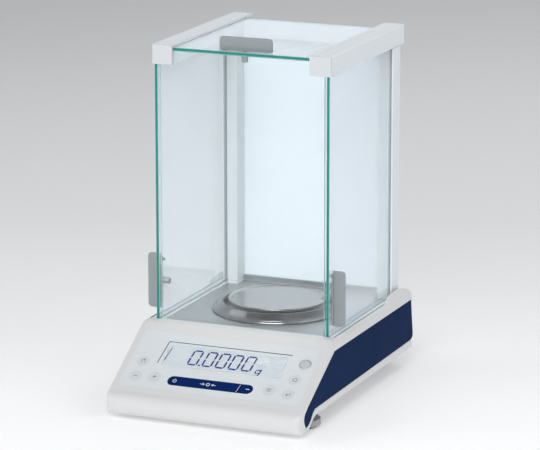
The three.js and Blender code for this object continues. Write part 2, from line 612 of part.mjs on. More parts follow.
function addShieldFrame() {
  const glassLook = { roughness: 0.05, opacity: 0.3 };
  add('front_glass', frontGlass(), COLOURS.glass, glassLook);
  const rearTop = 308.7;
  const rear = box(
    -REAR_PANEL_HALF_X, REAR_PANEL_HALF_X, REAR_PANEL_Y, REAR_PANEL_Y + GLASS, LEDGE_Z + GAP, rearTop);
  add('rear_panel', rear, COLOURS.rearPanel, { opacity: 0.7 });
  const barHalf = RAIL_INNER_X - GAP;
  const crossbar = box(-barHalf, barHalf, 112, RAIL_REAR_Y, rearTop + GAP, TOP_GLASS_Z - GAP);
  add('rear_crossbar', crossbar, COLOURS.aluminium);
  const rail = extrude(railSection(), 'y', GLASS_FRONT_Y - 0.1, RAIL_REAR_Y);
  const cap = extrude(capShape(), 'z', RAIL_BOTTOM_Z, TOP_Z);
  const topZ = RAIL_BOTTOM_Z - GAP;
  const rebateX = REAR_PANEL_HALF_X + GAP;
  const rebateY = REAR_PANEL_Y - GAP;
  const post = extrude(polygon([
    [POST_INNER_X, POST_FRONT_Y], [POST_OUTER_X, POST_FRONT_Y], [POST_OUTER_X, POST_REAR_Y],
    [rebateX, POST_REAR_Y], [rebateX, rebateY], [POST_INNER_X, rebateY],
  ]), 'z', BORDER_Z + GAP, topZ);
  const guide = box(
    DOOR_OUTER_X + 0.6, RAIL_OUTER_X + 0.6, POST_FRONT_Y - 1, GUIDE_REAR_Y, TRACK_Z + GAP, topZ);
  const grooveInner = DOOR_INNER_X - 0.4;
  const grooveOuter = DOOR_OUTER_X + 0.4;
  const grooveZ = DOOR_BOTTOM_Z - 0.4;
  const lipZ = DOOR_BOTTOM_Z + 1;
  const track = extrude(polygon([
    [DECK_Z, TRACK_INNER_X], [lipZ, TRACK_INNER_X], [lipZ, grooveInner], [grooveZ, grooveInner],
    [grooveZ, grooveOuter], [TRACK_Z, grooveOuter], [TRACK_Z, TRACK_OUTER_X], [DECK_Z, TRACK_OUTER_X],
  ]), 'y', TRACK_FRONT_Y, TRACK_REAR_Y);
  ['left', 'right'].forEach((side) => {
    add(`${side}_top_rail`, sided(rail, side), COLOURS.aluminium);
    add(`${side}_rail_cap`, sided(cap, side), COLOURS.white);
    add(`${side}_rear_post`, sided(post, side), COLOURS.aluminium);
    add(`${side}_door_guide`, sided(guide, side), COLOURS.aluminium);
    add(`${side}_door_track`, sided(track, side), COLOURS.aluminium);
  });
}

// A handle stands on the right door: a wing across the glass and two pins through it.
function sideHandle() {
  const foot = DOOR_OUTER_X + GAP;
  const bottom = SIDE_HANDLE_TOP_Z - HANDLE_LENGTH;
  const shape = new THREE.Shape();
  const reach = foot + HANDLE_REACH;
  shape.moveTo(bottom, foot);
  shape.lineTo(SIDE_HANDLE_TOP_Z, foot);
  shape.lineTo(SIDE_HANDLE_TOP_Z, reach - 4);
  shape.absarc(SIDE_HANDLE_TOP_Z - 4, reach - 4, 4, 0, Math.PI / 2, false);
  shape.absarc(bottom + 4, reach - 4, 4, Math.PI / 2, Math.PI, false);
  shape.lineTo(bottom, foot);
  const wing = extrude(shape, 'y', HANDLE_Y - HANDLE_THICKNESS / 2, HANDLE_Y + HANDLE_THICKNESS / 2);
  const flange = box(foot, foot + 1.2, HANDLE_Y - 3.5, HANDLE_Y + 3.5, bottom + 1, SIDE_HANDLE_TOP_Z - 1);
  const pins = PIN_OFFSETS.map((offset) => (
    pinAlongX(DOOR_INNER_X - 2, foot + 0.5, HANDLE_Y, SIDE_HANDLE_TOP_Z - offset, PIN_RADIUS)));
  return join(wing, flange, ...pins);
}

function sideKnob() {
  const face = DOOR_INNER_X - GAP;
  const knob = pinAlongX(face - KNOB_LENGTH, face, HANDLE_Y, SIDE_HANDLE_TOP_Z - PIN_OFFSETS[1], KNOB_RADIUS);
  const bore = pinAlongX(face - 4, face + 1, HANDLE_Y, SIDE_HANDLE_TOP_Z - PIN_OFFSETS[1], PIN_RADIUS + GAP);
  return cut(knob, bore);
}

// Carries a right-door piece over to the top door, so that +X becomes +Z.
function overTop(geometry) {
  const turn = new THREE.Matrix4().makeRotationY(-Math.PI / 2);
  const shift = new THREE.Matrix4().makeTranslation(
    TOP_HANDLE_LEFT_X + SIDE_HANDLE_TOP_Z, 0, TOP_GLASS_Z + GLASS - DOOR_OUTER_X);
  return geometry.clone().applyMatrix4(turn).applyMatrix4(shift);
}

function addDoors() {
  const glassLook = { roughness: 0.05, opacity: 0.3 };
  const pinHoles = PIN_OFFSETS.map((offset) => (
    pinAlongX(DOOR_INNER_X - 5, DOOR_OUTER_X + 5, HANDLE_Y, SIDE_HANDLE_TOP_Z - offset, PIN_RADIUS + GAP)));
  const pane = box(DOOR_INNER_X, DOOR_OUTER_X, GLASS_FRONT_Y, DOOR_REAR_Y, DOOR_BOTTOM_Z, DOOR_TOP_Z);
  const sideGlass = cut(pane, ...pinHoles);
  const topPane = box(
    -TOP_GLASS_HALF_X, TOP_GLASS_HALF_X, GLASS_FRONT_Y, TOP_GLASS_REAR_Y, TOP_GLASS_Z, TOP_GLASS_Z + GLASS);
  const topGlass = cut(topPane, ...pinHoles.map(overTop));
  const handle = sideHandle();
  const knob = sideKnob();
  ['left', 'right'].forEach((side) => {
    add(`${side}_door_glass`, sided(sideGlass, side), COLOURS.glass, glassLook);
    add(`${side}_door_handle`, sided(handle, side), COLOURS.handle);
    add(`${side}_door_knob`, sided(knob, side), COLOURS.handle);
  });
  add('top_door_glass', topGlass, COLOURS.glass, glassLook);
  add('top_door_handle', overTop(handle), COLOURS.handle);
  add('top_door_knob', overTop(knob), COLOURS.handle);
}

addHousing();
addBase();
addControlPanel();
addWeighingParts();
addWorks();
addShieldFrame();
addDoors();

export default group;
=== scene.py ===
"""Looks of the analytical balance: detailed pieces, materials, light and camera around the CAD frame."""
import json
import math

import bmesh
import bpy
from mathutils import Matrix, Vector
from mathutils.geometry import delaunay_2d_cdt

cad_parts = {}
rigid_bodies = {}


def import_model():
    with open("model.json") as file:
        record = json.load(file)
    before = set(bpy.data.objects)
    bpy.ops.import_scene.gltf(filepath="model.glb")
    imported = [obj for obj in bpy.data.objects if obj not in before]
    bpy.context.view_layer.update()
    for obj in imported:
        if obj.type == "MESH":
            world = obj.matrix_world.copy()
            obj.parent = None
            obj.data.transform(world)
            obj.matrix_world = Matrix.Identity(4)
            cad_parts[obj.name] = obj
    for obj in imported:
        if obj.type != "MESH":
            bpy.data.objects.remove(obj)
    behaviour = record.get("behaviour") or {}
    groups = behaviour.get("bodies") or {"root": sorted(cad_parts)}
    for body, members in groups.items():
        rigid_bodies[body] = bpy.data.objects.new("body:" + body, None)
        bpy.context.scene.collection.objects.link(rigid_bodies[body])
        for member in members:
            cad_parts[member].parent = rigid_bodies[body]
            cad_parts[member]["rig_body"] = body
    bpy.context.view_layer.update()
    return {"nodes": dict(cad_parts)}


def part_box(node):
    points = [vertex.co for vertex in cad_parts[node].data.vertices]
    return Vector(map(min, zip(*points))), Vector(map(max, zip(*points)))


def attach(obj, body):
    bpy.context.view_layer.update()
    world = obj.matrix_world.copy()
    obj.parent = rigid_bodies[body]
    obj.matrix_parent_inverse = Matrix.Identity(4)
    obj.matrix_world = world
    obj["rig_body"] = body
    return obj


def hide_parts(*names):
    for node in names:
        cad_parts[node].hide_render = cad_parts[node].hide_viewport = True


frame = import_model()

NODES = frame["nodes"]
MM = 0.001

# ---- sizes from the frame, in metres

HOUSING_LOW, HOUSING_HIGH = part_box("top_housing")
HALF_WIDTH = HOUSING_HIGH.x
FRONT_Y = HOUSING_LOW.y
REAR_Y = HOUSING_HIGH.y
SLOPE_ANGLE = math.radians(32.4)
SLOPE_TOP = Vector((0, -60.8 * MM, 72.9 * MM))
PANEL_FRAME = Matrix.Translation(SLOPE_TOP) @ Matrix.Rotation(SLOPE_ANGLE, 4, "X")
EDGE_RADIUS = 2.6 * MM
CORNER_RADIUS = 9 * MM


def box_mm(node):
    """The two corners of a CAD node, in millimetres."""
    return [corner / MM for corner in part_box(node)]


FLOOR = box_mm("floor_plate")
FRONT_GLASS = box_mm("front_glass")
REAR_PANEL = box_mm("rear_panel")
POST = box_mm("right_rear_post")
GUIDE = box_mm("right_door_guide")
TRACK = box_mm("right_door_track")
DOOR = box_mm("right_door_glass")
TOP_DOOR = box_mm("top_door_glass")
RAIL = box_mm("right_top_rail")
CAP = box_mm("right_rail_cap")
CROSSBAR = box_mm("rear_crossbar")
SIDE_HANDLE = box_mm("right_door_handle")
TOP_HANDLE = box_mm("top_door_handle")
GLASS = DOOR[1].x - DOOR[0].x
GAP_MM = 0.3
GAP = GAP_MM * MM
UPRIGHT = Matrix.Identity(4)
PAN_LOW, PAN_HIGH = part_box("weighing_pan")
PAN_CENTRE = (PAN_LOW + PAN_HIGH) / 2


# ---- materials

def add_node(owner, kind, **values):
    """A new node of a material or world. An underscore in a socket's name stands for a space."""
    node = owner.node_tree.nodes.new(kind)
    for key, value in values.items():
        if hasattr(node, key):
            setattr(node, key, value)
        else:
            node.inputs[key.replace("_", " ")].default_value = value
    return node


def link(owner, source, target):
    owner.node_tree.links.new(source, target)


def shader_of(material):
    return material.node_tree.nodes["Principled BSDF"]


def set_shader(material, **values):
    for key, value in values.items():
        shader_of(material).inputs[key.replace("_", " ")].default_value = value


def new_material(name, colour, roughness=0.5, metallic=0.0, coat=0.0, specular=0.5):
    material = bpy.data.materials.new(name)
    material.use_nodes = True
    set_shader(material, Base_Color=(*colour, 1), Roughness=roughness, Metallic=metallic, Coat_Weight=coat,
               Coat_Roughness=0.12, Specular_IOR_Level=specular)
    return material


def place(material, scale=(1, 1, 1), location=(0, 0, 0)):
    """Object coordinates, stretched and moved, as the start of a pattern."""
    where = add_node(material, "ShaderNodeTexCoord")
    mapping = add_node(material, "ShaderNodeMapping", Scale=scale, Location=location)
    link(material, where.outputs["Object"], mapping.inputs["Vector"])
    return mapping.outputs["Vector"]


def noise(material, scale, detail=3, stretch=(1, 1, 1)):
    node = add_node(material, "ShaderNodeTexNoise", Scale=scale, Detail=detail)
    link(material, place(material, stretch), node.inputs["Vector"])
    return node.outputs["Fac"]


def spread(owner, source, **ends):
    """The source's value carried over to another range."""
    node = add_node(owner, "ShaderNodeMapRange", **ends)
    link(owner, source, node.inputs["Value"])
    return node.outputs["Result"]


def mixed(owner, source, first, second):
    """A colour between two others, where the source is 0 and where it is 1."""
    mix = add_node(owner, "ShaderNodeMix", data_type="RGBA")
    colours = [s for s in mix.inputs if s.type == "RGBA"]
    colours[0].default_value = (*first, 1)
    colours[1].default_value = (*second, 1)
    link(owner, source, mix.inputs["Factor"])
    return [s for s in mix.outputs if s.type == "RGBA"][0]


def vary_roughness(material, source, low, high):
    result = spread(material, source, To_Min=low, To_Max=high)
    link(material, result, shader_of(material).inputs["Roughness"])


def vary_colour(material, source, first, second):
    link(material, mixed(material, source, first, second), shader_of(material).inputs["Base Color"])


def bump(material, source, distance, strength=0.3):
    node = add_node(material, "ShaderNodeBump", Strength=strength, Distance=distance)
    link(material, source, node.inputs["Height"])
    link(material, node.outputs["Normal"], shader_of(material).inputs["Normal"])


def scaled(numbers, factor):
    return tuple(n * factor for n in numbers)


def uneven(material, colour, dark_share, patches, sheen, low, high):
    """Colour that darkens in patches and roughness that varies, each by a noise given as (scale, detail)."""
    vary_colour(material, noise(material, *patches), scaled(colour, dark_share), colour)
    vary_roughness(material, noise(material, *sheen), low, high)


def moulded(name, colour, roughness=0.42, texture=2600, coat=0.0, depth=0.00004, tint=0.03, specular=0.5):
    """Injection-moulded plastic: spark texture, a slight change of colour over the part, uneven sheen."""
    material = new_material(name, colour, roughness, coat=coat, specular=specular)
    uneven(material, colour, 1 - tint, (14, 2), (60, 4), roughness - 0.05, roughness + 0.07)
    bump(material, noise(material, texture, 2), depth)
    return material


def flat_print(name, colour):
    """Printed ink: even colour with a faint unevenness in its sheen."""
    roughness = 0.45
    material = new_material(name, colour, roughness)
    uneven(material, colour, 0.9, (400, 2), (900, 2), roughness - 0.06, roughness + 0.06)
    return material


def rubber(name, colour):
    material = new_material(name, colour, 0.8, specular=0.3)
    uneven(material, colour, 0.7, (200, 4), (300, 3), 0.7, 0.92)
    bump(material, noise(material, 1500, 3), 0.00008, 0.5)
    return material


def brushed(name, colour, roughness, stretch, scale=900, metallic=1.0):
    """Brushed or milled metal: long fine scratches along the axis that stretch makes slow."""
    material = new_material(name, colour, roughness, metallic)
    scratches = noise(material, scale, 4, stretch)
    vary_roughness(material, scratches, roughness - 0.07, roughness + 0.1)
    vary_colour(material, noise(material, 20, 3), scaled(colour, 0.9), colour)
    bump(material, scratches, 0.00002, 0.25)
    return material


def spun_steel(name, colour, roughness):
    """Polished sheet turned on a lathe: hair-fine rings round the pan's centre."""
    material = new_material(name, colour, roughness, 1.0)
    rings = add_node(material, "ShaderNodeTexWave", wave_type="RINGS", rings_direction="Z", Scale=420,
                     Distortion=1.5)
    link(material, place(material, location=scaled(PAN_CENTRE, -1)), rings.inputs["Vector"])
    vary_roughness(material, rings.outputs["Fac"], roughness - 0.03, roughness + 0.06)
    vary_colour(material, noise(material, 30, 2), scaled(colour, 0.93), colour)
    bump(material, rings.outputs["Fac"], 0.000012, 0.2)
    return material


def glass(name, tint, lamp_tint, roughness=0.0, haze=0.0):
    """Clear glass, with a share of white haze if asked. Rays from the lamps go straight through it, so that
    what it shuts in is lit."""
    material = new_material(name, tint, roughness)
    set_shader(material, Transmission_Weight=1.0 - haze, IOR=1.5)
    vary_roughness(material, noise(material, 9, 3), roughness, roughness + 0.012)
    through = add_node(material, "ShaderNodeBsdfTransparent", Color=(*lamp_tint, 1))
    path_kind = add_node(material, "ShaderNodeLightPath")
    mix = add_node(material, "ShaderNodeMixShader")
    link(material, path_kind.outputs["Is Shadow Ray"], mix.inputs["Fac"])
    link(material, shader_of(material).outputs["BSDF"], mix.inputs[1])
    link(material, through.outputs["BSDF"], mix.inputs[2])
    link(material, mix.outputs["Shader"], material.node_tree.nodes["Material Output"].inputs["Surface"])
    return material


def glass_edge(name, pale, deep):
    """The ground edge of a pane, where the long way through the glass shows its green; given pale colours, it
    makes the painted highlight on the arrises.
    """
    material = new_material(name, deep, 0.22, specular=0.6)
    vary_colour(material, noise(material, 120, 3), deep, pale)
    set_shader(material, Transmission_Weight=0.1, IOR=1.5)
    bump(material, noise(material, 1800, 2), 0.00003, 0.3)
    return material


def circuit_board(name):
    """Solder mask over fine tracks."""
    material = new_material(name, (0.02, 0.16, 0.06), 0.35, coat=0.3)
    tracks = add_node(material, "ShaderNodeTexVoronoi", feature="DISTANCE_TO_EDGE", Scale=260)
    link(material, place(material), tracks.inputs["Vector"])
    vary_colour(material, tracks.outputs["Distance"], (0.05, 0.28, 0.11), (0.015, 0.12, 0.05))
    vary_roughness(material, noise(material, 200, 2), 0.28, 0.42)
    return material


LOOK = {
    "white": moulded("housing_plastic", (0.70, 0.70, 0.695), 0.36, coat=0.12),
    "cap": moulded("rail_cap_plastic", (0.62, 0.64, 0.66), 0.34, coat=0.1),
    "navy": moulded("navy_inlay", (0.003, 0.021, 0.084), 0.5, texture=3200, depth=0.00001, tint=0.25,
                    specular=0.02),
    "overlay": moulded("panel_membrane", (0.70, 0.73, 0.74), 0.4, texture=3600, depth=0.00002),
    "bar": moulded("bar_membrane", (0.0025, 0.021, 0.12), 0.5, texture=3600, depth=0.00001, tint=0.2,
                   specular=0.03),
    "key": moulded("key_membrane", (0.63, 0.675, 0.695), 0.4, texture=3600, depth=0.00002),
    "screen": glass("display_window_clear", (0.97, 0.98, 0.99), (0.97, 0.98, 0.99)),
    "lcd": moulded("display_cell", (0.53, 0.57, 0.585), 0.5, texture=4000, depth=0.000005),
    "segment": flat_print("display_segments", (0.008, 0.008, 0.16)),
    "print_dark": flat_print("printed_line", (0.06, 0.07, 0.10)),
    "print_grey": flat_print("printed_symbol", (0.16, 0.18, 0.21)),
    "print_white": flat_print("printed_white", (0.85, 0.87, 0.9)),
    "tray": moulded("tray_plastic", (0.42, 0.44, 0.46), 0.5, texture=1600, depth=0.00006),
    "wheel": moulded("foot_plastic", (0.36, 0.37, 0.38), 0.42),
    "rubber": rubber("foot_rubber_mix", (0.028, 0.028, 0.03)),
    "seal": rubber("seal_rubber_mix", (0.10, 0.105, 0.11)),
    "zinc": brushed("zinc_plate", (0.62, 0.62, 0.60), 0.32, (1, 1, 1)),
    "vial_cup": brushed("vial_cup_metal", (0.62, 0.65, 0.67), 0.4, (1, 1, 1), metallic=0.3),
    "vial_glass": glass("vial_lens", (0.60, 0.62, 0.63), (0.9, 0.95, 0.94), 0.2, haze=0.8),
    "floor": brushed("floor_satin_steel", (0.47, 0.485, 0.49), 0.36, (0.05, 1, 1), scale=1400),
    # Painted shade: a darker copy of the floor's satin steel for the upright lip bent up from the same sheet.
    "upstand": brushed("upstand_steel_painted_shade", (0.42, 0.45, 0.46), 0.34, (0.05, 1, 1), scale=1400),
    "ring": spun_steel("ring_polished_steel", (0.27, 0.275, 0.28), 0.09),
    "pan": spun_steel("pan_polished_steel", (0.41, 0.405, 0.40), 0.17),
    "front": glass("front_glass_face", (0.975, 0.99, 0.99), (0.97, 0.99, 0.99)),
    "pane": glass("shield_glass_face", (0.93, 0.97, 1.0), (0.96, 0.99, 0.995), haze=0.19),
    "front_edge": glass_edge("front_glass_edge", (0.50, 0.80, 0.78), (0.38, 0.70, 0.67)),
    "pane_edge": glass_edge("shield_glass_edge", (0.01, 0.27, 0.22), (0.0, 0.17, 0.13)),
    # Painted highlight: the arrises of every pane are coloured pale to stand for the light they catch.
    "pane_arris_highlight": glass_edge("shield_glass_arris_painted_highlight", (0.45, 0.85, 0.83), (0.30, 0.72, 0.69)),
    "rail": moulded("rail_powder_coat", (0.77, 0.815, 0.835), 0.38, texture=1900, depth=0.00005),
    # Painted shade: the rails' powder coat, made darker for the posts so that their sides that face the front
    # look less lit.
    "post": moulded("post_powder_coat_painted_shade", (0.66, 0.69, 0.70), 0.42, texture=1900, depth=0.00005),
    "handle": moulded("handle_plastic", (0.29, 0.315, 0.325), 0.42, texture=2200),
    "cell": brushed("milled_aluminium", (0.66, 0.67, 0.68), 0.3, (1, 0.08, 1)),
    "board": circuit_board("board_solder_mask"),
    "black": moulded("socket_plastic", (0.018, 0.018, 0.02), 0.45),
    "rear": glass("rear_pane_face", (0.90, 0.94, 0.98), (0.93, 0.96, 0.98), 0.25, haze=0.55),
}


# ---- mesh building

def outline(*steps, points_on_curve=8):
    """A closed outline in metres from steps in millimetres: a corner (x, y), or a quadratic curve
    from the last point as ((control x, y), (end x, y))."""
    made = []
    for step in steps:
        if isinstance(step[0], tuple):
            control, end = Vector(step[0]), Vector(step[1])
            start = made[-1].copy()
            for i in range(1, points_on_curve + 1):
                t = i / points_on_curve
                made.append(start * (1 - t) ** 2 + control * 2 * t * (1 - t) + end * t ** 2)
        else:
            made.append(Vector(step))
    if (made[0] - made[-1]).length < 1e-6:
        made.pop()
    return [p * MM for p in made]


def rounded_box(left, right, bottom, top, radius, corner_points=5):
    """A closed outline in metres from sizes in metres."""
    made = []
    corners = ((right, bottom, -90), (right, top, 0), (left, top, 90), (left, bottom, 180))
    for x, y, start in corners:
        cx = x - radius if x == right else x + radius
        cy = y - radius if y == top else y + radius
        for i in range(corner_points + 1):
            a = math.radians(start + 90 * i / corner_points)
            made.append(Vector((cx + radius * math.cos(a), cy + radius * math.sin(a))))
    return made


def circle(x, y, radius, points=48):
    return [Vector((x + radius * math.cos(2 * math.pi * i / points),
                    y + radius * math.sin(2 * math.pi * i / points))) for i in range(points)]


def box_loop(x0, x1, y0, y1):
    return outline((x0, y0), (x1, y0), (x1, y1), (x0, y1))


def show(name, data):
    piece = bpy.data.objects.new(name, data)
    bpy.context.scene.collection.objects.link(piece)
    return piece


def new_object(name, mesh, *looks):
    for look in looks:
        mesh.materials.append(LOOK[look])
    return show(name, mesh)


def mesh_from(bm, name):
    mesh = bpy.data.meshes.new(name)
    bm.to_mesh(mesh)
    bm.free()
    return mesh


def settled(piece):
    """The piece's mesh with its modifiers, or its curve, worked out."""
    return bpy.data.meshes.new_from_object(piece.evaluated_get(bpy.context.evaluated_depsgraph_get()))


def smooth(piece):
    piece.data.shade_smooth()
    piece.data.set_sharp_from_angle(angle=math.radians(35))
    weighted = piece.modifiers.new("even_normals", "WEIGHTED_NORMAL")
    weighted.keep_sharp = True
    return piece


def sheet(name, loops, low, high, look, matrix=UPRIGHT, bevel=0.3, rounds=2):
    """A flat piece over its outlines, inner loops being holes, between two heights in millimetres, with
    edges softened by the bevel."""
    low, high, bevel = low * MM, high * MM, bevel * MM
    curve = bpy.data.curves.new(name, "CURVE")
    curve.dimensions = "2D"
    curve.fill_mode = "BOTH"
    curve.extrude = (high - low) / 2 - bevel
    curve.bevel_depth = bevel
    curve.bevel_resolution = rounds
    curve.offset = -bevel
    for loop in loops:
        spline = curve.splines.new("POLY")
        spline.points.add(len(loop) - 1)
        for point, place_2d in zip(spline.points, loop):
            point.co = (place_2d.x, place_2d.y, 0, 1)
        spline.use_cyclic_u = True
    holder = show(name, curve)
    bpy.context.view_layer.update()
    mesh = settled(holder)
    bpy.data.objects.remove(holder)
    bpy.data.curves.remove(curve)
    mesh.transform(matrix @ Matrix.Translation((0, 0, (low + high) / 2)))
    mesh.materials.clear()
    weld(mesh)
    mesh.name = name
    return smooth(new_object(name, mesh, look))


def weld(mesh):
    bm = bmesh.new()
    bm.from_mesh(mesh)
    bmesh.ops.remove_doubles(bm, verts=bm.verts, dist=0.001 * MM)
    bmesh.ops.recalc_face_normals(bm, faces=bm.faces)
    bm.to_mesh(mesh)
    bm.free()


def turned(name, profile, centre, look, sides=128, matrix=UPRIGHT):
    """A piece turned round a vertical axis. The profile is (radius, height) in millimetres and closes on
    itself or starts and ends on the axis."""
    bm = bmesh.new()
    rings = []
    for radius, height in profile:
        points = circle(0, 0, radius * MM, sides) if radius else [Vector((0, 0))]
        rings.append([bm.verts.new((centre[0] + p.x, centre[1] + p.y, height * MM)) for p in points])
    closed = len(rings[0]) > 1
    pairs = list(zip(rings, rings[1:] + rings[:1])) if closed else list(zip(rings, rings[1:]))
    for low, high in pairs:
        for i in range(sides):
            j = (i + 1) % sides
            corners = [low[i % len(low)], low[j % len(low)], high[j % len(high)], high[i % len(high)]]
            unique = list(dict.fromkeys(corners))
            if len(unique) > 2:
                bm.faces.new(unique)
    bmesh.ops.recalc_face_normals(bm, faces=bm.faces)
    mesh = mesh_from(bm, name)
    mesh.transform(matrix)
    return smooth(new_object(name, mesh, look))


def arc(cx, cy, radius, start, end, points=6):
    return [(cx + radius * math.cos(math.radians(start + (end - start) * i / points)),
             cy + radius * math.sin(math.radians(start + (end - start) * i / points)))
            for i in range(points + 1)]


def prism(loop, low, high, matrix=UPRIGHT):
    """A plain closed solid over an outline, used as a cutter or as a printed mark."""
    bm = bmesh.new()
    bottom = [bm.verts.new((p.x, p.y, low)) for p in loop]
    top = [bm.verts.new((p.x, p.y, high)) for p in loop]
    bm.faces.new(bottom[::-1])
    bm.faces.new(top)
    for i in range(len(loop)):
        j = (i + 1) % len(loop)
        bm.faces.new((bottom[i], bottom[j], top[j], top[i]))
    bmesh.ops.recalc_face_normals(bm, faces=bm.faces)
    mesh = mesh_from(bm, "prism")
    mesh.transform(matrix)
    return mesh


def block(low, high):
    """A box between two corners in millimetres, whose x and y may come in either order."""
    xs, ys = sorted((low[0], high[0])), sorted((low[1], high[1]))
    return prism(box_loop(*xs, *ys), low[2] * MM, high[2] * MM)


def carve(piece, cutters):
    """Cuts each mesh out in turn and keeps the result."""
    helpers = [show("helper", mesh) for mesh in cutters]
    for helper in helpers:
        modifier = piece.modifiers.new("cut", "BOOLEAN")
        modifier.object = helper
        modifier.operation = "DIFFERENCE"
        modifier.solver = "EXACT"
    bpy.context.view_layer.update()
    mesh = settled(piece)
    piece.modifiers.clear()
    piece.data = mesh
    for helper in helpers:
        bpy.data.objects.remove(helper)
    return piece


def merge(pieces, name):
    """Joins separate solids into one piece."""
    bm = bmesh.new()
    materials = []
    for piece in pieces:
        start = len(bm.faces)
        bm.from_mesh(settled(piece))
        bm.faces.ensure_lookup_table()
        own = list(piece.data.materials)
        for face in bm.faces[start:]:
            material = own[min(face.material_index, len(own) - 1)]
            if material not in materials:
                materials.append(material)
            face.material_index = materials.index(material)
    mesh = mesh_from(bm, name)
    for piece in pieces:
        bpy.data.objects.remove(piece)
    for material in materials:
        mesh.materials.append(material)
    return smooth(new_object(name, mesh))


# axes of a sheet's own x, y and z in the row frame
ALONG_X = Matrix(((0, 0, 1, 0), (1, 0, 0, 0), (0, 1, 0, 0), (0, 0, 0, 1)))
ALONG_Y = Matrix(((0, 1, 0, 0), (0, 0, 1, 0), (1, 0, 0, 0), (0, 0, 0, 1)))
MIRROR_X = Matrix.Diagonal((-1, 1, 1, 1))


def detail_on(piece, node):
    """The piece is an extra detail that moves with the CAD node."""
    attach(piece, NODES[node]["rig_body"])


def stand_for(piece, node):
    """The piece takes the CAD node's place and body."""
    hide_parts(node)
    detail_on(piece, node)


def flipped(piece, name):
    """The left-hand twin of a right-hand piece."""
    mesh = piece.data.copy()
    mesh.transform(MIRROR_X)
    mesh.flip_normals()
    mesh.name = name
    return smooth(new_object(name, mesh))


# ---- housing

BORDER_Z = 72.8
SLOPE_TAN = math.tan(SLOPE_ANGLE)


def slope_height(y):
    return SLOPE_TOP.z / MM + (y - SLOPE_TOP.y / MM) * SLOPE_TAN


def housing_outline():
    return outline(
        (-104, 14.5), (136, 14.5), ((145, 15.5), (145, 24)), (143.6, 60), ((142.4, 71.5), (133, 74.4)),
        (122, 77.6), ((112, 80.5), (102, 79.8)), (88, 79.2), ((81, 78.6), (79, 76)), (76, BORDER_Z),
        (-59, BORDER_Z), ((-61.5, BORDER_Z - 0.2), (-64, slope_height(-64))), (-135, slope_height(-135)),
        ((-146, slope_height(-139)), (-145, 12)), ((-144.5, 4.5), (-135, 3.8)), (-129, 4),
        ((-123, 4.6), (-119, 7.6)), ((-113, 13.4), (-104, 14.5)))


def half_width_at(y, z):
    """Half width of the housing: it leans in above the side panels and rounds off at its corners."""
    lean = [(62, 96.5), (66, 96.2), (69, 95.6), (73, 94.2), (75, 92.9), (90, 91.9)]
    width = lean[0][1]
    for (z0, x0), (z1, x1) in zip(lean, lean[1:]):
        if z > z0 * MM:
            t = min(1, (z / MM - z0) / (z1 - z0))
            width = x0 + (x1 - x0) * t
    corner = CORNER_RADIUS
    for end, sign in ((FRONT_Y, 1), (REAR_Y, -1)):
        inside = corner - (y - end) * sign
        if inside > 0:
            width -= (corner - math.sqrt(max(0, corner ** 2 - inside ** 2))) / MM
    return width * MM


def distance_to(loop, p):
    best = 1e9
    for a, b in zip(loop, loop[1:] + loop[:1]):
        ab = b - a
        t = max(0, min(1, (p - a).dot(ab) / max(ab.length_squared, 1e-12)))
        best = min(best, (a + ab * t - p).length)
    return best


def inset(loop, distance):
    """The outline moved inwards, for a loop that runs counterclockwise."""
    made = []
    for before, here, after in zip(loop[-1:] + loop[:-1], loop, loop[1:] + loop[:1]):
        first, second = (here - before).normalized(), (after - here).normalized()
        along = (first + second).normalized()
        normal = Vector((-along.y, along.x))
        made.append(here + normal * distance / max(0.5, along.dot(first)))
    return made


def housing_body():
    """The outer form: a skin across the width, and a side face with a rounded edge at each end of it."""
    loop = housing_outline()
    count = len(loop)
    levels = [0, 0.12, 0.35, 0.65, 1.0]
    rings = [loop] + [inset(loop, EDGE_RADIUS * level) for level in levels[1:]]
    points = [p for ring in rings for p in ring]
    edges = [(r * count + i, r * count + (i + 1) % count) for r in range(len(rings)) for i in range(count)]
    for height in (62, 64, 66, 68, 70, 72, 74, 76, 79):
        start = len(points)
        line = [(-150 + 6 * i, height) for i in range(51)]
        inside = [Vector(p) * MM for p in line]
        inside = [p for p in inside if inside_loop(rings[-1], p)]
        points += inside
        edges += [(start + i, start + i + 1) for i in range(len(inside) - 1)
                  if (inside[i + 1] - inside[i]).length < 7 * MM]
    flat, _, faces, origins, _, _ = delaunay_2d_cdt(points, edges, [list(range(count))], 1, 1e-7)
    bm = bmesh.new()
    sides = []
    for sign in (1, -1):
        verts = []
        for p in flat:
            depth = min(EDGE_RADIUS, distance_to(loop, p))
            fall = EDGE_RADIUS - math.sqrt(max(0, EDGE_RADIUS ** 2 - (EDGE_RADIUS - depth) ** 2))
            verts.append(bm.verts.new((sign * (half_width_at(p.x, p.y) - fall), p.x, p.y)))
        for face in faces:
            bm.faces.new([verts[i] for i in face])
        sides.append(verts)
    rim = [next(i for i, o in enumerate(origins) if n in o) for n in range(count)]
    for i, j in zip(rim, rim[1:] + rim[:1]):
        bm.faces.new((sides[0][i], sides[0][j], sides[1][j], sides[1][i]))
    bmesh.ops.recalc_face_normals(bm, faces=bm.faces)
    return new_object("top_housing_shell", mesh_from(bm, "top_housing_shell"), "white")


def inside_loop(loop, p):
    hit = False
    for a, b in zip(loop, loop[1:] + loop[:1]):
        if (a.y > p.y) != (b.y > p.y) and p.x < (b.x - a.x) * (p.y - a.y) / (b.y - a.y) + a.x:
            hit = not hit
    return hit


def side_panel_loop(grow=0.0):
    return inset(outline(
        (-109, 22), (133, 23.5), ((141, 23.5), (140.5, 29)), (135, 63), (-63, 63), (-125, 28.5),
        (-131, 24.6), ((-136, 21.5), (-135, 16)), (-131.5, 10), ((-124, 9.5), (-118, 16)),
        ((-114, 20.5), (-109, 22))), -grow * MM)


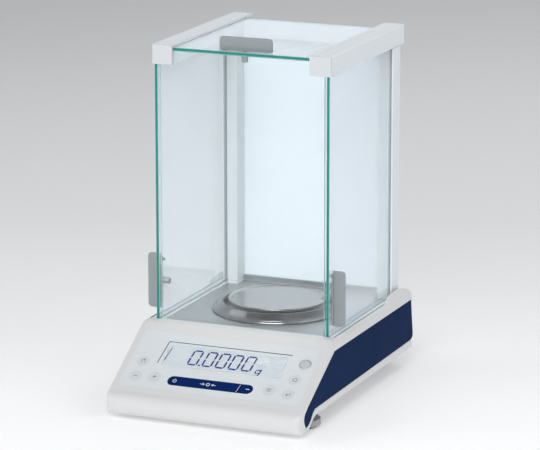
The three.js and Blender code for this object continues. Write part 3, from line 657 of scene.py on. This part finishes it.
def overlay_loop(grow=0.0):
    top, bottom, half_top, half_bottom, corner = -12.5, -81.8, 87.5, 89.5, 5
    return inset(outline(
        (-half_bottom + corner, bottom), (half_bottom - corner, bottom),
        ((half_bottom, bottom), (half_bottom, bottom + corner)), (half_top, top - corner),
        ((half_top, top), (half_top - corner, top)), (-half_top + corner, top),
        ((-half_top, top), (-half_top, top - corner)), (-half_bottom, bottom + corner),
        ((-half_bottom, bottom), (-half_bottom + corner, bottom))), -grow * MM)


WINDOW_LEFT, WINDOW_RIGHT, WINDOW_BOTTOM, WINDOW_TOP = scaled((-57, 60, -52.5, -27), MM)
BAR_LEFT, BAR_RIGHT, BAR_SPLIT, BAR_MIDDLE, BAR_HALF = -44, 40, 27.2, -69.6, 5.5
KEY_RADIUS = 6 * MM
KEY_LIFT = 0.05
KEY_GAP = 0.06 * MM
KEY_DEPTH = 3.2
KEYS = {
    "transfer_key": (-75.5, -50.6), "minus_key": (-76.5, -68.9), "plus_key": (-58, -67.4),
    "home_key": (75, -52), "function_key": (55, -67.3), "enter_key": (74.4, -69.9),
}
VIAL = Vector((78.2, -32.6)) * MM
VIAL_RADIUS = 6 * MM
# x, z, half width and half height of the sockets in the rear wall
POWER_SOCKET = (-52, 38, 6, 5.5)
SERIAL_SOCKET = (40, 38, 15.5, 6.25)


def window_loop(grow=0.0):
    return rounded_box(WINDOW_LEFT - grow, WINDOW_RIGHT + grow, WINDOW_BOTTOM - grow, WINDOW_TOP + grow,
                       1.5 * MM)


def bar_loop(grow):
    half = BAR_HALF * MM + grow
    return rounded_box(BAR_LEFT * MM - grow, BAR_RIGHT * MM + grow, BAR_MIDDLE * MM - half,
                       BAR_MIDDLE * MM + half, half - 0.01 * MM, 10)


def panel_openings(grow, window_grow=GAP):
    keys = [circle(x * MM, y * MM, KEY_RADIUS + grow, 40) for x, y in KEYS.values()]
    return [window_loop(window_grow), bar_loop(grow), circle(VIAL.x, VIAL.y, VIAL_RADIUS + grow, 40), *keys]


def housing_cutters():
    """Everything that is cut out of the outer form."""
    wall = 3.2
    drop = wall / math.cos(SLOPE_ANGLE)
    deck = FLOOR[0].z - GAP_MM
    roof = deck - wall
    foot = slope_height(-126) - drop
    front = (SLOPE_TOP.y - (SLOPE_TOP.z - (drop + roof) * MM) / SLOPE_TAN) / MM
    hollow = outline((-103.4, 5), (138, 5), (141.4, 24), (137.2, 62), (134, roof), (front, roof),
                     (-126, foot), (-126, 23), (-116, 18), (-103.4, 18))
    sides = HALF_WIDTH - 3.1 * MM
    cutters = [prism(hollow, -sides, sides, ALONG_X)]
    above, behind = 100, REAR_Y / MM + 1
    boxes = [
        ((-FLOOR[1].x - 0.4, FLOOR[0].y - 0.4, deck), (FLOOR[1].x + 0.4, POST[0].y - GAP_MM, above)),
        ((-POST[0].x + GAP_MM, 0, deck), (POST[0].x - GAP_MM, FLOOR[1].y + 0.4, above)),
        ((-DOOR[0].x, FRONT_GLASS[0].y - GAP_MM, deck), (DOOR[0].x, FLOOR[0].y, above)),
        ((-POST[1].x, 100, REAR_PANEL[0].z - GAP_MM), (POST[1].x, REAR_PANEL[1].y + GAP_MM, above)),
    ]
    for sign in (-1, 1):
        boxes.append(((sign * (TRACK[0].x - GAP_MM), TRACK[0].y - GAP_MM, deck - GAP_MM),
                      (sign * (TRACK[1].x + GAP_MM), behind, above)))
        boxes.append(((sign * REAR_PANEL[1].x, POST[0].y - GAP_MM, BORDER_Z),
                      (sign * DOOR[0].x, POST[1].y + GAP_MM, above)))
        boxes.append(((sign * (POST[0].x - GAP_MM), POST[0].y - GAP_MM, BORDER_Z),
                      (sign * (REAR_PANEL[1].x + 1), REAR_PANEL[0].y, above)))
    cutters += [block(low, high) for low, high in boxes]
    for sign in (-1, 1):
        near, far = sorted((sign * (HALF_WIDTH - 1.5 * MM), sign * 0.1))
        cutters.append(prism(side_panel_loop(0.3), near, far, ALONG_X))
    cutters.append(prism(overlay_loop(0.05), -1.1 * MM, 5 * MM, PANEL_FRAME))
    cutters += [prism(loop, -10 * MM, 5 * MM, PANEL_FRAME) for loop in panel_openings(GAP)]
    cutters.append(prism(circle(PAN_CENTRE.x, PAN_CENTRE.y, 8 * MM, 40), 50 * MM, 90 * MM))
    for x, z, half_x, half_z in (POWER_SOCKET, SERIAL_SOCKET):
        cutters.append(block((x - half_x - GAP_MM, 120, z - half_z - GAP_MM),
                             (x + half_x + GAP_MM, 150, z + half_z + GAP_MM)))
    return cutters


def build_housing():
    body = carve(housing_body(), housing_cutters())
    weld(body.data)
    soften = body.modifiers.new("soft_edges", "BEVEL")
    soften.width = 0.35 * MM
    soften.segments = 2
    soften.limit_method = "ANGLE"
    soften.angle_limit = math.radians(50)
    stand_for(smooth(body), "top_housing")
    side = HALF_WIDTH / MM
    right = sheet("right_navy_inlay", [side_panel_loop()], side - 1.2, side, "navy", ALONG_X, 0.35)
    left = flipped(right, "left_navy_inlay.001")
    stand_for(right, "right_side_panel")
    stand_for(left, "left_side_panel")


# ---- control panel

INK = 0.06


def marks(name, node, loops, look="print_white", low=KEY_LIFT):
    """Printed or lit marks: thin solids over their outlines."""
    bm = bmesh.new()
    for loop in loops:
        bm.from_mesh(prism(loop, low * MM, (low + INK) * MM, PANEL_FRAME))
    detail_on(new_object(name, mesh_from(bm, name), look), node)


def printed_ring(name, node, radii, points, x, y, low, look, lean=0.0):
    """A thin ring on the panel, which may lean to the right."""
    slant = Matrix(((1, lean, 0, 0), (0, 1, 0, 0), (0, 0, 1, 0), (0, 0, 0, 1)))
    loops = [circle(0, 0, radius * MM, points) for radius in radii]
    matrix = PANEL_FRAME @ Matrix.Translation(Vector((x, y, low)) * MM) @ slant
    detail_on(sheet(name, loops, 0, INK, look, matrix, 0.005, 0), node)


def stroke(width, *points):
    """Outlines of the straight strokes of a line through points, in millimetres."""
    made = []
    for a, b in zip(points, points[1:]):
        a, b = Vector(a), Vector(b)
        along = (b - a).normalized() * width / 2
        side = Vector((-along.y, along.x))
        corners = (a - along + side, a - along - side, b + along - side, b + along + side)
        made.append([corner * MM for corner in corners])
    return made


def strokes(*rows):
    return [loop for row in rows for loop in stroke(*row)]


def moved(loops, x, y):
    return [[Vector((p.x + x * MM, p.y + y * MM)) for p in loop] for loop in loops]


def digit_segments():
    """The six outer bars of a seven-segment nought, leaning to the right."""
    width, height, thick, slant, gap = 10.2, 18.6, 1.65, 0.12, 0.35
    half = thick / 2
    x0, x1, y0, ym, y1 = half, width - half, half, height / 2, height - half

    def bar(a, b, level):
        return [(a + gap, level), (a + gap + half, level + half), (b - gap - half, level + half),
                (b - gap, level), (b - gap - half, level - half), (a + gap + half, level - half)]

    def post(x, a, b):
        return [(x, a + gap), (x + half, a + gap + half), (x + half, b - gap - half), (x, b - gap),
                (x - half, b - gap - half), (x - half, a + gap + half)]

    shapes = [bar(x0, x1, y0), bar(x0, x1, y1)]
    shapes += [post(x, *ends) for x in (x0, x1) for ends in ((y0, ym), (ym, y1))]
    return [[Vector((x + y * slant, y)) * MM for x, y in shape] for shape in shapes]


CELL_FACE = -0.5


def build_display():
    """The lit face of the display, five noughts with their decimal point, the unit and the load gauge."""
    face = sheet("display_cell_face", [window_loop()], -2.34, CELL_FACE, "lcd", PANEL_FRAME, 0.05, 1)
    detail_on(face, "display_module")
    first, base, pitch, after_point = -33.8, -48.8, 12.9, 1.6
    places = [first] + [first + pitch * i + after_point for i in range(1, 5)]
    loops = [loop for x in places for loop in moved(digit_segments(), x, base)]
    loops += moved([rounded_box(0, 1.9 * MM, 0, 1.9 * MM, 0.3 * MM)], first + 11.7, base)
    unit_x, unit_y, lean = 37.0, -47.6, 0.22
    printed_ring("unit_symbol", "display_module", (2.8, 1.8), 28, unit_x, unit_y, CELL_FACE, "segment", lean)
    tail = ((2.35, 2.7), (2.35, -3.6), (1.2, -4.9), (-1.8, -4.9))
    loops += moved(stroke(1.0, *((x + lean * y, y) for x, y in tail)), unit_x, unit_y)
    loops += stroke(0.8, (-54.0, -30.6), (-56.3, -45.5))
    marks("display_marks", "display_module", loops, "segment", CELL_FACE)


# the strokes of each symbol: a width, then the points of the line
SYMBOLS = {
    "transfer_key": ((0.5, (-1.6, -2), (-1.6, 2), (1.2, 2)), (0.45, (0.2, 0.9), (1.4, 2), (0.2, 3.0)),
                     (0.5, (1.6, -2), (1.6, 0.6))),
    "minus_key": ((0.65, (-1.7, 0), (1.7, 0)),),
    "plus_key": ((0.6, (-1.7, 0), (1.7, 0)), (0.6, (0, -1.7), (0, 1.7))),
    "home_key": ((0.5, (-2.4, 0), (0, 2.2), (2.4, 0)), (0.5, (-1.6, 0), (-1.6, -2), (1.6, -2), (1.6, 0))),
    "function_key": tuple((0.5, (-2, y), (2, y)) for y in (1.4, 0, -1.4)),
    "enter_key": ((0.5, (2, 1.8), (2, -0.6), (-1.8, -0.6)), (0.5, (-0.6, 0.6), (-1.9, -0.6), (-0.6, -1.8))),
}
TARE_ARROWS = [row for side in (-1, 1) for row in (
    (0.55, (side * 7.5, 0), (side * 3.6, 0)), (0.5, (side * 5, 1.2), (side * 3.6, 0), (side * 5, -1.2)))]


def build_symbols():
    corner_line = stroke(0.8, (-61.5, -50.5), (-59.2, -23.8), (62.5, -23.8))
    marks("display_corner_line", "control_overlay", corner_line, "print_dark", 0.02)
    for node, rows in SYMBOLS.items():
        marks(f"{node}_symbol", node, moved(strokes(*rows), *KEYS[node]), "print_grey")
    zero_x, start_x, clear_x, centre = -4, -37, 35, BAR_MIDDLE
    marks("tare_arrows", "tare_key", moved(strokes(*TARE_ARROWS), zero_x, centre))
    printed_ring("tare_nought", "tare_key", (1.9, 1.25), 24, zero_x, centre, KEY_LIFT, "print_white")
    marks("tare_start_symbol", "tare_key", moved(stroke(0.5, (0, 0.4), (0, 2.3)), start_x, centre))
    half_ring = outline(*arc(0, 0, 1.9, -235, 55, 14), *arc(0, 0, 1.4, 55, -235, 14))
    marks("tare_start_ring", "tare_key", moved([half_ring], start_x, centre))
    marks("clear_symbol", "clear_key", moved(stroke(0.6, (-1.5, 0), (1.5, 0)), clear_x, centre))
    lean, dash, spacing = 2 / 11, 1.2, 2.4
    starts = [-4.4 + spacing * i for i in range(4)]
    dashes = strokes(*((0.5, (lean * y, y), (lean * (y + dash), y + dash)) for y in starts))
    marks("bar_divider", "tare_key", moved(dashes, BAR_SPLIT - 1.35, centre))


def bar_part(name, node, end, side):
    """One end of the bar under the display: a half-round end and a slanting cut."""
    middle, half = BAR_MIDDLE, BAR_HALF
    loop = outline(*arc(end - side * half, middle, half, -side * 90, -side * 90 + 180, 14),
                   (BAR_SPLIT + side * 1.3, middle + side * half),
                   (BAR_SPLIT - side * 0.7, middle - side * half))
    stand_for(sheet(name, [loop], -KEY_DEPTH, KEY_LIFT, "bar", PANEL_FRAME, 0.08), node)


def build_panel():
    overlay = sheet("panel_overlay", [overlay_loop(), *panel_openings(KEY_GAP, 0.02 * MM)], -0.8, 0,
                    "overlay", PANEL_FRAME, 0.03)
    stand_for(overlay, "control_overlay")
    window = sheet("display_window_pane", [window_loop()], -0.4, 0, "screen", PANEL_FRAME, 0.02)
    stand_for(window, "display_window")
    for node, (x, y) in KEYS.items():
        key = sheet(f"{node}_cap", [circle(x * MM, y * MM, KEY_RADIUS, 40)], -KEY_DEPTH, KEY_LIFT, "key",
                    PANEL_FRAME, 0.05)
        stand_for(key, node)
    bar_part("tare_key_cap", "tare_key", BAR_LEFT, -1)
    bar_part("clear_key_cap", "clear_key", BAR_RIGHT, 1)
    build_display()
    build_symbols()
    r = VIAL_RADIUS / MM
    cup = [(0, -6), (r - 0.6, -6), (r, -5.4), (r, 0.3), (r - 0.2, 0.5), (r - 0.8, 0.5), (r - 1, 0.3),
           (r - 1, -3.6), (0, -3.6)]
    bend = [math.radians(a) for a in range(15, 90, 15)]
    dome = [(0, -3.2), (r - 1.3, -3.2), (r - 1.3, 0.2)]
    dome += [((r - 1.3) * math.cos(a), 0.2 + 0.8 * math.sin(a)) for a in bend] + [(0, 1)]
    stand_for(turned("vial_cup_turned", cup, VIAL, "vial_cup", 48, PANEL_FRAME), "level_vial_cup")
    stand_for(turned("vial_lens", dome, VIAL, "vial_glass", 48, PANEL_FRAME), "level_vial_glass")
    target_loops = [circle(VIAL.x, VIAL.y, radius * MM, 32) for radius in (2.6, 2.2)]
    target = sheet("vial_ring_mark", target_loops, -3.5, -3.35, "print_dark", PANEL_FRAME, 0.02, 0)
    detail_on(target, "level_vial_cup")


# ---- weighing chamber parts

def build_weighing_parts():
    low, high = FLOOR
    narrow, step = POST[0].x - 2 * GAP_MM, POST[0].y - 2 * GAP_MM
    top = low.z + 1.4
    loop = outline((low.x, low.y), (high.x, low.y), (high.x, step), (narrow, step), (narrow, high.y - 2),
                   (-narrow, high.y - 2), (-narrow, step), (low.x, step))
    hole = circle(PAN_CENTRE.x, PAN_CENTRE.y, 9 * MM, 48)
    plate = sheet("plate", [loop, hole], low.z, top, "floor", bevel=0.25)
    rear = high.y
    under, over, inner = low.z + 0.05, top - 0.05, rear - 1.4
    bend = outline((rear - 4, under), (rear - 2, under), ((rear, under), (rear, low.z + 2)), (rear, high.z),
                   (inner, high.z), (inner, top + 1.2), ((inner, over), (rear - 2.8, over)), (rear - 4, over))
    # The upright lip takes the painted shade of the floor's steel.
    upstand = sheet("upstand", [bend], -narrow, narrow, "upstand", ALONG_X, 0.1)
    stand_for(merge([plate, upstand], "floor_sheet"), "floor_plate")
    flange = [(52.6, 70.5), (61.4, 70.5), (61.9, 70.8), (62, 71.3), (61.7, 71.9), (60.4, 72.5)]
    bead = arc(59.0, 72.6, 1.2, 0, 150, 8)
    cone = [(57.3, 73.7), (53.9, 77.3)]
    lip = arc(52.2, 77.2, 1.2, 30, 180, 8)
    inside = [(51.4, 76.6), (54.6, 73.1), (53.2, 72.3)]
    ring = turned("draft_ring_spun", flange + bead + cone + lip + inside, PAN_CENTRE, "ring")
    stand_for(ring, "draft_ring")
    edge = (PAN_HIGH.x - PAN_CENTRE.x) / MM
    rim = arc(edge - 1.1, 79.9, 1.1, -80, 150, 12)
    pan = [(0, 76), (3.3, 76), (3.3, 74), (6.2, 74), (6.5, 74.3), (6.5, 78.1), (6.9, 78.4),
           (edge - 2.5, 78.4)]
    dish = [(edge - 2.5, 80.15), (edge - 3.7, 79.85), (edge - 6, 79.8), (20, 79.8), (0, 79.8)]
    stand_for(turned("pan_spun", pan + rim + dish, PAN_CENTRE, "pan"), "weighing_pan")


# ---- draft shield

def pane(name, node, loops, low, high, matrix, thin_axis, face="pane"):
    """A glass sheet with ground edges: clear on its two faces, green round its edge, and a painted highlight
    in pale green on the arrises.
    """
    piece = sheet(name, loops, low, high, face, matrix, 0.25, 1)
    piece.data.materials.append(LOOK["front_edge" if face == "front" else "pane_edge"])
    # The arrises take the pale painted highlight.
    piece.data.materials.append(LOOK["pane_arris_highlight"])
    for polygon in piece.data.polygons:
        across = abs(polygon.normal[thin_axis])
        polygon.material_index = 0 if across > 0.9 else 1 if across < 0.2 else 2
    return stand_for(piece, node)


PIN_HOLE = 1.7 * MM
HANDLE_Y = (SIDE_HANDLE[0].y + SIDE_HANDLE[1].y) / 2
HANDLE_LENGTH = SIDE_HANDLE[1].z - SIDE_HANDLE[0].z
PIN_PLACES = (5, 25)
SIDE_PINS = [SIDE_HANDLE[1].z - along for along in PIN_PLACES]
TOP_PINS = [TOP_HANDLE[0].x + along for along in PIN_PLACES]


def build_panes():
    low, high = FRONT_GLASS
    neck_z, neck_x = RAIL[0].z - GAP_MM, RAIL[0].x + 0.5
    front_loop = outline((low.z, low.x), (neck_z, low.x), (neck_z, -neck_x), (high.z, -neck_x),
                         (high.z, neck_x), (neck_z, neck_x), (neck_z, high.x), (low.z, high.x))
    pane("front_pane", "front_glass", [front_loop], low.y, high.y, ALONG_Y, 1, "front")
    low, high = REAR_PANEL
    rear_loop = box_loop(low.z, high.z, low.x, high.x)
    pane("rear_pane", "rear_panel", [rear_loop], low.y, high.y, ALONG_Y, 1, "rear")
    low, high = DOOR
    door = box_loop(low.y, high.y, low.z, high.z)
    holes = [circle(HANDLE_Y * MM, z * MM, PIN_HOLE, 20) for z in SIDE_PINS]
    pane("right_door_pane", "right_door_glass", [door, *holes], low.x, high.x, ALONG_X, 0)
    pane("left_door_pane", "left_door_glass", [door, *holes], -high.x, -low.x, ALONG_X, 0)
    low, high = TOP_DOOR
    holes = [circle(x * MM, HANDLE_Y * MM, PIN_HOLE, 20) for x in TOP_PINS]
    pane("top_door_pane", "top_door_glass", [box_loop(low.x, high.x, low.y, high.y), *holes], low.z, high.z,
         UPRIGHT, 2)


def handle_at(name, node, knob_node, to_place):
    """A door handle. It is made over the glass at height 0: x runs along the wing, z away from the glass."""
    half, end, reach = 1.3, HANDLE_LENGTH, 12
    wing_loop = outline((0, 0), (end, 0), (end, reach - 4), ((end, reach), (end - 4, reach)), (4, reach),
                        ((0, reach), (0, reach - 4)), points_on_curve=6)
    stand_up = Matrix(((1, 0, 0, 0), (0, 0, -1, 0), (0, 1, 0, 0), (0, 0, 0, 1)))
    wing = sheet("wing", [wing_loop], -half, half, "handle", stand_up, 0.9, 3)
    foot = sheet("foot", [rounded_box(MM, (end - 1) * MM, -3.5 * MM, 3.5 * MM, 3.2 * MM)], 0, 1.2,
                 "handle", bevel=0.4)
    pin_end = -(GLASS + 2.3)
    pin_profile = [(0, pin_end), (1.2, pin_end), (1.4, pin_end + 0.2), (1.4, 0.5), (0, 0.5)]
    head_profile = [(0, 0.9), (2.4, 0.9), (2.4, 1.6), (1.6, 2.2), (0, 2.4)]
    pins = [turned("pin", pin_profile, (x * MM, 0), "handle", 24) for x in PIN_PLACES]
    heads = [turned("head", head_profile, (x * MM, 0), "handle", 24) for x in PIN_PLACES]
    handle = merge([wing, foot, *pins, *heads], name)
    handle.data.transform(to_place)
    stand_for(handle, node)
    face = -(GLASS + 0.6)
    end = face - 7
    profile = [(0, end), (2.4, end), (2.85, end + 0.3), (3, end + 0.8), (3, face - 0.4), (2.7, face),
               (1.7, face), (1.7, face - 4), (0, face - 4)]
    knob = turned("knob", profile, (PIN_PLACES[1] * MM, 0), "handle", 40)
    knob.data.transform(to_place)
    knob.name = knob.data.name = f"{name}_knob"
    stand_for(knob, knob_node)


def build_handles():
    """Each wing runs down from its upper pin on the side doors and to the right on the top door."""
    x, y, z = (DOOR[1].x + GAP_MM) * MM, HANDLE_Y * MM, SIDE_HANDLE[1].z * MM
    right = Matrix(((0, 0, 1, x), (0, 1, 0, y), (-1, 0, 0, z), (0, 0, 0, 1)))
    left = Matrix(((0, 0, -1, -x), (0, -1, 0, y), (-1, 0, 0, z), (0, 0, 0, 1)))
    top = Matrix.Translation((TOP_HANDLE[0].x * MM, y, (TOP_DOOR[1].z + GAP_MM) * MM))
    handle_at("right_handle", "right_door_handle", "right_door_knob", right)
    handle_at("left_handle", "left_door_handle", "left_door_knob", left)
    handle_at("top_handle", "top_door_handle", "top_door_knob", top)


def build_frame():
    low, high = RAIL
    groove_in, groove_out = DOOR[0].x - 0.4, DOOR[1].x + 0.4
    lip_x, lip_z = CAP[0].x, TOP_DOOR[1].z + GAP_MM
    shelf_x, shelf_z = TOP_DOOR[1].x + 0.5, TOP_DOOR[0].z - GAP_MM
    inner = CROSSBAR[1].x + GAP_MM
    section = outline(
        (low.z, inner), (shelf_z, inner), (shelf_z, shelf_x), (lip_z, shelf_x), (lip_z, lip_x),
        (high.z, lip_x), (high.z, high.x - 0.8), (high.z - 0.8, high.x), (low.z, high.x), (low.z, groove_out),
        (DOOR[1].z + 0.5, groove_out), (DOOR[1].z + 0.5, groove_in), (low.z, groove_in))
    front, back = CAP[0].y, CAP[1].y
    cap_loop = outline((lip_x, front), (CAP[1].x - 3.4, front), ((CAP[1].x, front), (CAP[1].x, back)),
                       (lip_x, back))
    rebate_x, rebate_y = REAR_PANEL[1].x + GAP_MM, REAR_PANEL[0].y - GAP_MM
    post_loop = outline(
        (POST[0].x, POST[0].y), (POST[1].x, POST[0].y), (POST[1].x, POST[1].y), (rebate_x, POST[1].y),
        (rebate_x, rebate_y), (POST[0].x, rebate_y))
    x0, x1, y0, y1 = GUIDE[0].x, GUIDE[1].x, GUIDE[0].y, GUIDE[1].y
    guide_loop = outline((x0, y0), (x1 - 0.8, y0), ((x1, y0), (x1, y0 + 0.8)), (x1, y1 - 4),
                         (x1 - 0.4, y1 - 3.6), (x1, y1 - 3.2), (x1, y1), (x0, y1))
    low, high = TRACK
    groove_z = DOOR[0].z - 0.4
    track_loop = outline(
        (low.z, low.x), (groove_z + 1.4, low.x), (groove_z + 1.4, groove_in), (groove_z, groove_in),
        (groove_z, groove_out), (high.z, groove_out), (high.z, high.x), (low.z, high.x))
    parts = {
        "top_rail": (section, RAIL[0].y, RAIL[1].y, ALONG_Y, 0.3),
        "rail_cap": (cap_loop, CAP[0].z, CAP[1].z, UPRIGHT, 0.5),
        "rear_post": (post_loop, POST[0].z, POST[1].z, UPRIGHT, 0.3),
        "door_guide": (guide_loop, GUIDE[0].z, GUIDE[1].z, UPRIGHT, 0.1),
        "door_track": (track_loop, TRACK[0].y, TRACK[1].y, ALONG_Y, 0.12),
    }
    for seal, inner_x, outer_x, seal_low, seal_high in (
            ("outer_seal", high.x - 0.1, high.x + 0.65, high.z - 0.6, BORDER_Z + 0.12),
            ("brush_seal", DOOR[1].x + 0.06, groove_out + 0.2, high.z - 1.2, high.z + 0.12)):
        seal_loop = box_loop(inner_x, outer_x, low.y, high.y - 10)
        parts[seal] = (seal_loop, seal_low, seal_high, UPRIGHT, 0.05)
    looks = {"rail_cap": "cap", "rear_post": "post", "outer_seal": "seal", "brush_seal": "seal"}
    for part, (loop, low, high, matrix, bevel) in parts.items():
        look = looks.get(part, "rail")
        right = sheet(f"right_{part}_formed", [loop], low, high, look, matrix, bevel)
        left = flipped(right, f"left_{part}_formed")
        for piece, side in ((left, "left"), (right, "right")):
            if part.endswith("seal"):
                detail_on(piece, f"{side}_door_track")
            else:
                stand_for(piece, f"{side}_{part}")
    low, high = CROSSBAR
    bar = sheet("rear_crossbar_formed", [box_loop(low.x, high.x, low.y, high.y)], low.z, high.z, "rail",
                bevel=0.8)
    stand_for(bar, "rear_crossbar")


# ---- feet, serial pins and what stays as CAD

DRESS = {
    "lcd": ("display_module",),
    "board": ("control_board", "main_board"),
    "tray": ("base_tray", "hook_cover"),
    "rubber": ("left_rear_foot", "right_rear_foot", "left_foot_pad", "right_foot_pad"),
    "zinc": ("front_left_base_screw", "front_right_base_screw", "rear_left_base_screw",
             "rear_right_base_screw", "pan_carrier", "magnet_pot", "serial_socket"),
    "cell": ("weighing_cell",),
    "black": ("power_jack",),
}


def dress_cad_nodes():
    """Gives the CAD nodes that stay in view their materials."""
    for look, nodes in DRESS.items():
        for node in nodes:
            mesh = NODES[node].data
            mesh.materials.clear()
            mesh.materials.append(LOOK[look])


def build_feet():
    """Each levelling foot: a wheel with a toothed rim and a hub, and its threaded stud."""
    foot_x, foot_y, teeth, rim_radius, tooth_depth, pitch = 79, -95, 16, 16, 0.9, 1.25
    steps = teeth * 8
    thread = [(0, 11.3), (3.6, 11.3)]
    for i in range(12):
        z = 11.7 + pitch * i
        thread += [(3.6, z), (4.0, z + 0.5), (4.0, z + 0.7), (3.6, z + 1.2)]
    thread += [(3.2, 28), (0, 28)]
    hub_profile = [(0, 7.5), (9.6, 7.5), (9, 8.2), (8.2, 8.6), (8, 11), (7.6, 11.4), (4, 11.5), (0, 11.5)]
    for side, sign in (("left", -1), ("right", 1)):
        centre = Vector((sign * foot_x, foot_y)) * MM
        grips = []
        for i in range(steps):
            a = 2 * math.pi * i / steps
            radius = (rim_radius - tooth_depth * max(0, math.cos(a * teeth)) ** 3) * MM
            grips.append(Vector((centre.x + radius * math.cos(a), centre.y + radius * math.sin(a))))
        rim = sheet("rim", [grips], 2, 8, "wheel", bevel=0.7)
        hub = turned("hub", hub_profile, centre, "wheel", 48)
        stud = turned("stud", thread, centre, "zinc", 32)
        stand_for(merge([rim, hub, stud], f"{side}_levelling_wheel"), f"{side}_foot_wheel")


def build_serial_pins():
    """The nine pins of the serial socket, in two rows."""
    socket_x, socket_z = SERIAL_SOCKET[:2]
    pitch, radius = 2.77, 0.45
    profile = [(0, 137.6), (radius, 137.6), (radius, 140.6), (0, 140.9)]
    pins = []
    for row, count in ((1.4, 5), (-1.4, 4)):
        for i in range(count):
            x = socket_x + (i - (count - 1) / 2) * pitch
            pin = turned("pin", profile, (0, 0), "zinc", 16)
            pin.data.transform(Matrix(((1, 0, 0, x * MM), (0, 0, 1, 0), (0, -1, 0, (socket_z + row) * MM),
                                       (0, 0, 0, 1))))
            pins.append(pin)
    detail_on(merge(pins, "serial_pins"), "serial_socket")


# ---- camera, light and floor

def stage_painted_light_material():
    """A pale sweep with painted light: it glows to fill the shadows on it, and it darkens towards the back in
    a painted falloff of light.
    """
    material = moulded("stage_floor_painted_light", (0.8, 0.8, 0.8), 0.75, texture=300, depth=0.00002, tint=0.01)
    # Painted light: the floor glows on its own, which fills the shadows cast on it.
    set_shader(material, Specular_IOR_Level=0.1, Emission_Strength=0.34)
    where = add_node(material, "ShaderNodeTexCoord")
    along = add_node(material, "ShaderNodeVectorMath", operation="DOT_PRODUCT")
    along.inputs[1].default_value = (math.sin(CAMERA_YAW), math.cos(CAMERA_YAW), 0)
    link(material, where.outputs["Object"], along.inputs[0])
    # Painted shade: darker the further back the floor lies along the view.
    fall = spread(material, along.outputs["Value"], From_Min=-0.2, From_Max=3.0)
    ramp = add_node(material, "ShaderNodeValToRGB")
    stops = ramp.color_ramp.elements
    for place_at, _ in STAGE_PAINTED_FALLOFF_STOPS[1:-1]:
        stops.new(place_at)
    for stop, (place_at, grey) in zip(stops, STAGE_PAINTED_FALLOFF_STOPS):
        stop.position = place_at
        stop.color = (grey, grey * 0.997, grey, 1)
    link(material, fall, ramp.inputs["Fac"])
    for socket in ("Base Color", "Emission Color"):
        link(material, ramp.outputs["Color"], shader_of(material).inputs[socket])
    return material


# Greys of the painted falloff of light, from in front of the balance to far behind it.
STAGE_PAINTED_FALLOFF_STOPS = ((0.0, 0.83), (0.27, 0.61), (0.62, 0.51), (1.0, 0.47))
SKY_HORIZON = (0.93, 0.96, 1.0)
SKY_ZENITH = (0.04, 0.042, 0.045)
LAMPS = (
    ("front_light", (0.4, -2.1, 1.75), 1.7, 34),
    ("left_light", (-1.9, -0.4, 1.5), 1.6, 8),
    ("right_light", (1.9, -0.3, 1.5), 1.6, 6),
    ("rear_light", (0.1, 1.9, 1.8), 1.6, 14),
)


def build_sky():
    """Bright all round and dark overhead, like a light tent with an open top."""
    world = bpy.data.worlds.new("studio")
    world.use_nodes = True
    where = add_node(world, "ShaderNodeTexCoord")
    parts = add_node(world, "ShaderNodeSeparateXYZ")
    link(world, where.outputs["Generated"], parts.inputs["Vector"])
    height = spread(world, parts.outputs["Z"], interpolation_type="SMOOTHSTEP", From_Min=0.25, From_Max=0.95)
    background = world.node_tree.nodes["Background"]
    link(world, mixed(world, height, SKY_HORIZON, SKY_ZENITH), background.inputs["Color"])
    background.inputs["Strength"].default_value = 0.8
    bpy.context.scene.world = world


def build_stage():
    reach = 14000
    floor = show("stage_floor_painted_light", prism(box_loop(-reach, reach, -reach, reach), -0.01, 0))
    floor.data.materials.append(stage_painted_light_material())
    build_sky()
    for name, position, size, power in LAMPS:
        lamp = bpy.data.lights.new(name, "AREA")
        lamp.shape = "DISK"
        lamp.size = size
        lamp.energy = power
        holder = show(name, lamp)
        holder.location = position
        aim = Vector((0, 0, 0.15)) - holder.location
        holder.rotation_euler = aim.to_track_quat("-Z", "Y").to_euler()


CAMERA_YAW, CAMERA_PITCH, CAMERA_ROLL = (math.radians(angle) for angle in (-22.881, -13.502, -0.044))
CAMERA_PLACE = (1.1437, -2.6946, 0.8607)
CAMERA_LENS = 216.58


def build_camera():
    """The photograph's own view: 23 degrees to the right and 13.5 degrees down, three metres away."""
    data = bpy.data.cameras.new("camera")
    camera = show("camera", data)
    yaw, pitch, roll = CAMERA_YAW, CAMERA_PITCH, CAMERA_ROLL
    forward = Vector((math.sin(yaw) * math.cos(pitch), math.cos(yaw) * math.cos(pitch), math.sin(pitch)))
    right = Vector((math.cos(yaw), -math.sin(yaw), 0))
    up = right.cross(forward)
    turned_right = right * math.cos(roll) + up * math.sin(roll)
    turned_up = up * math.cos(roll) - right * math.sin(roll)
    axes = Matrix((turned_right, turned_up, -forward)).transposed()
    camera.matrix_world = Matrix.Translation(CAMERA_PLACE) @ axes.to_4x4()
    data.sensor_width = 36
    data.lens = CAMERA_LENS
    data.clip_end = 100
    bpy.context.scene.camera = camera


build_camera()
build_stage()
build_housing()
build_panel()
build_weighing_parts()
build_panes()
build_handles()
build_frame()
build_feet()
build_serial_pins()
dress_cad_nodes()
bpy.context.scene.view_settings.view_transform = "Standard"
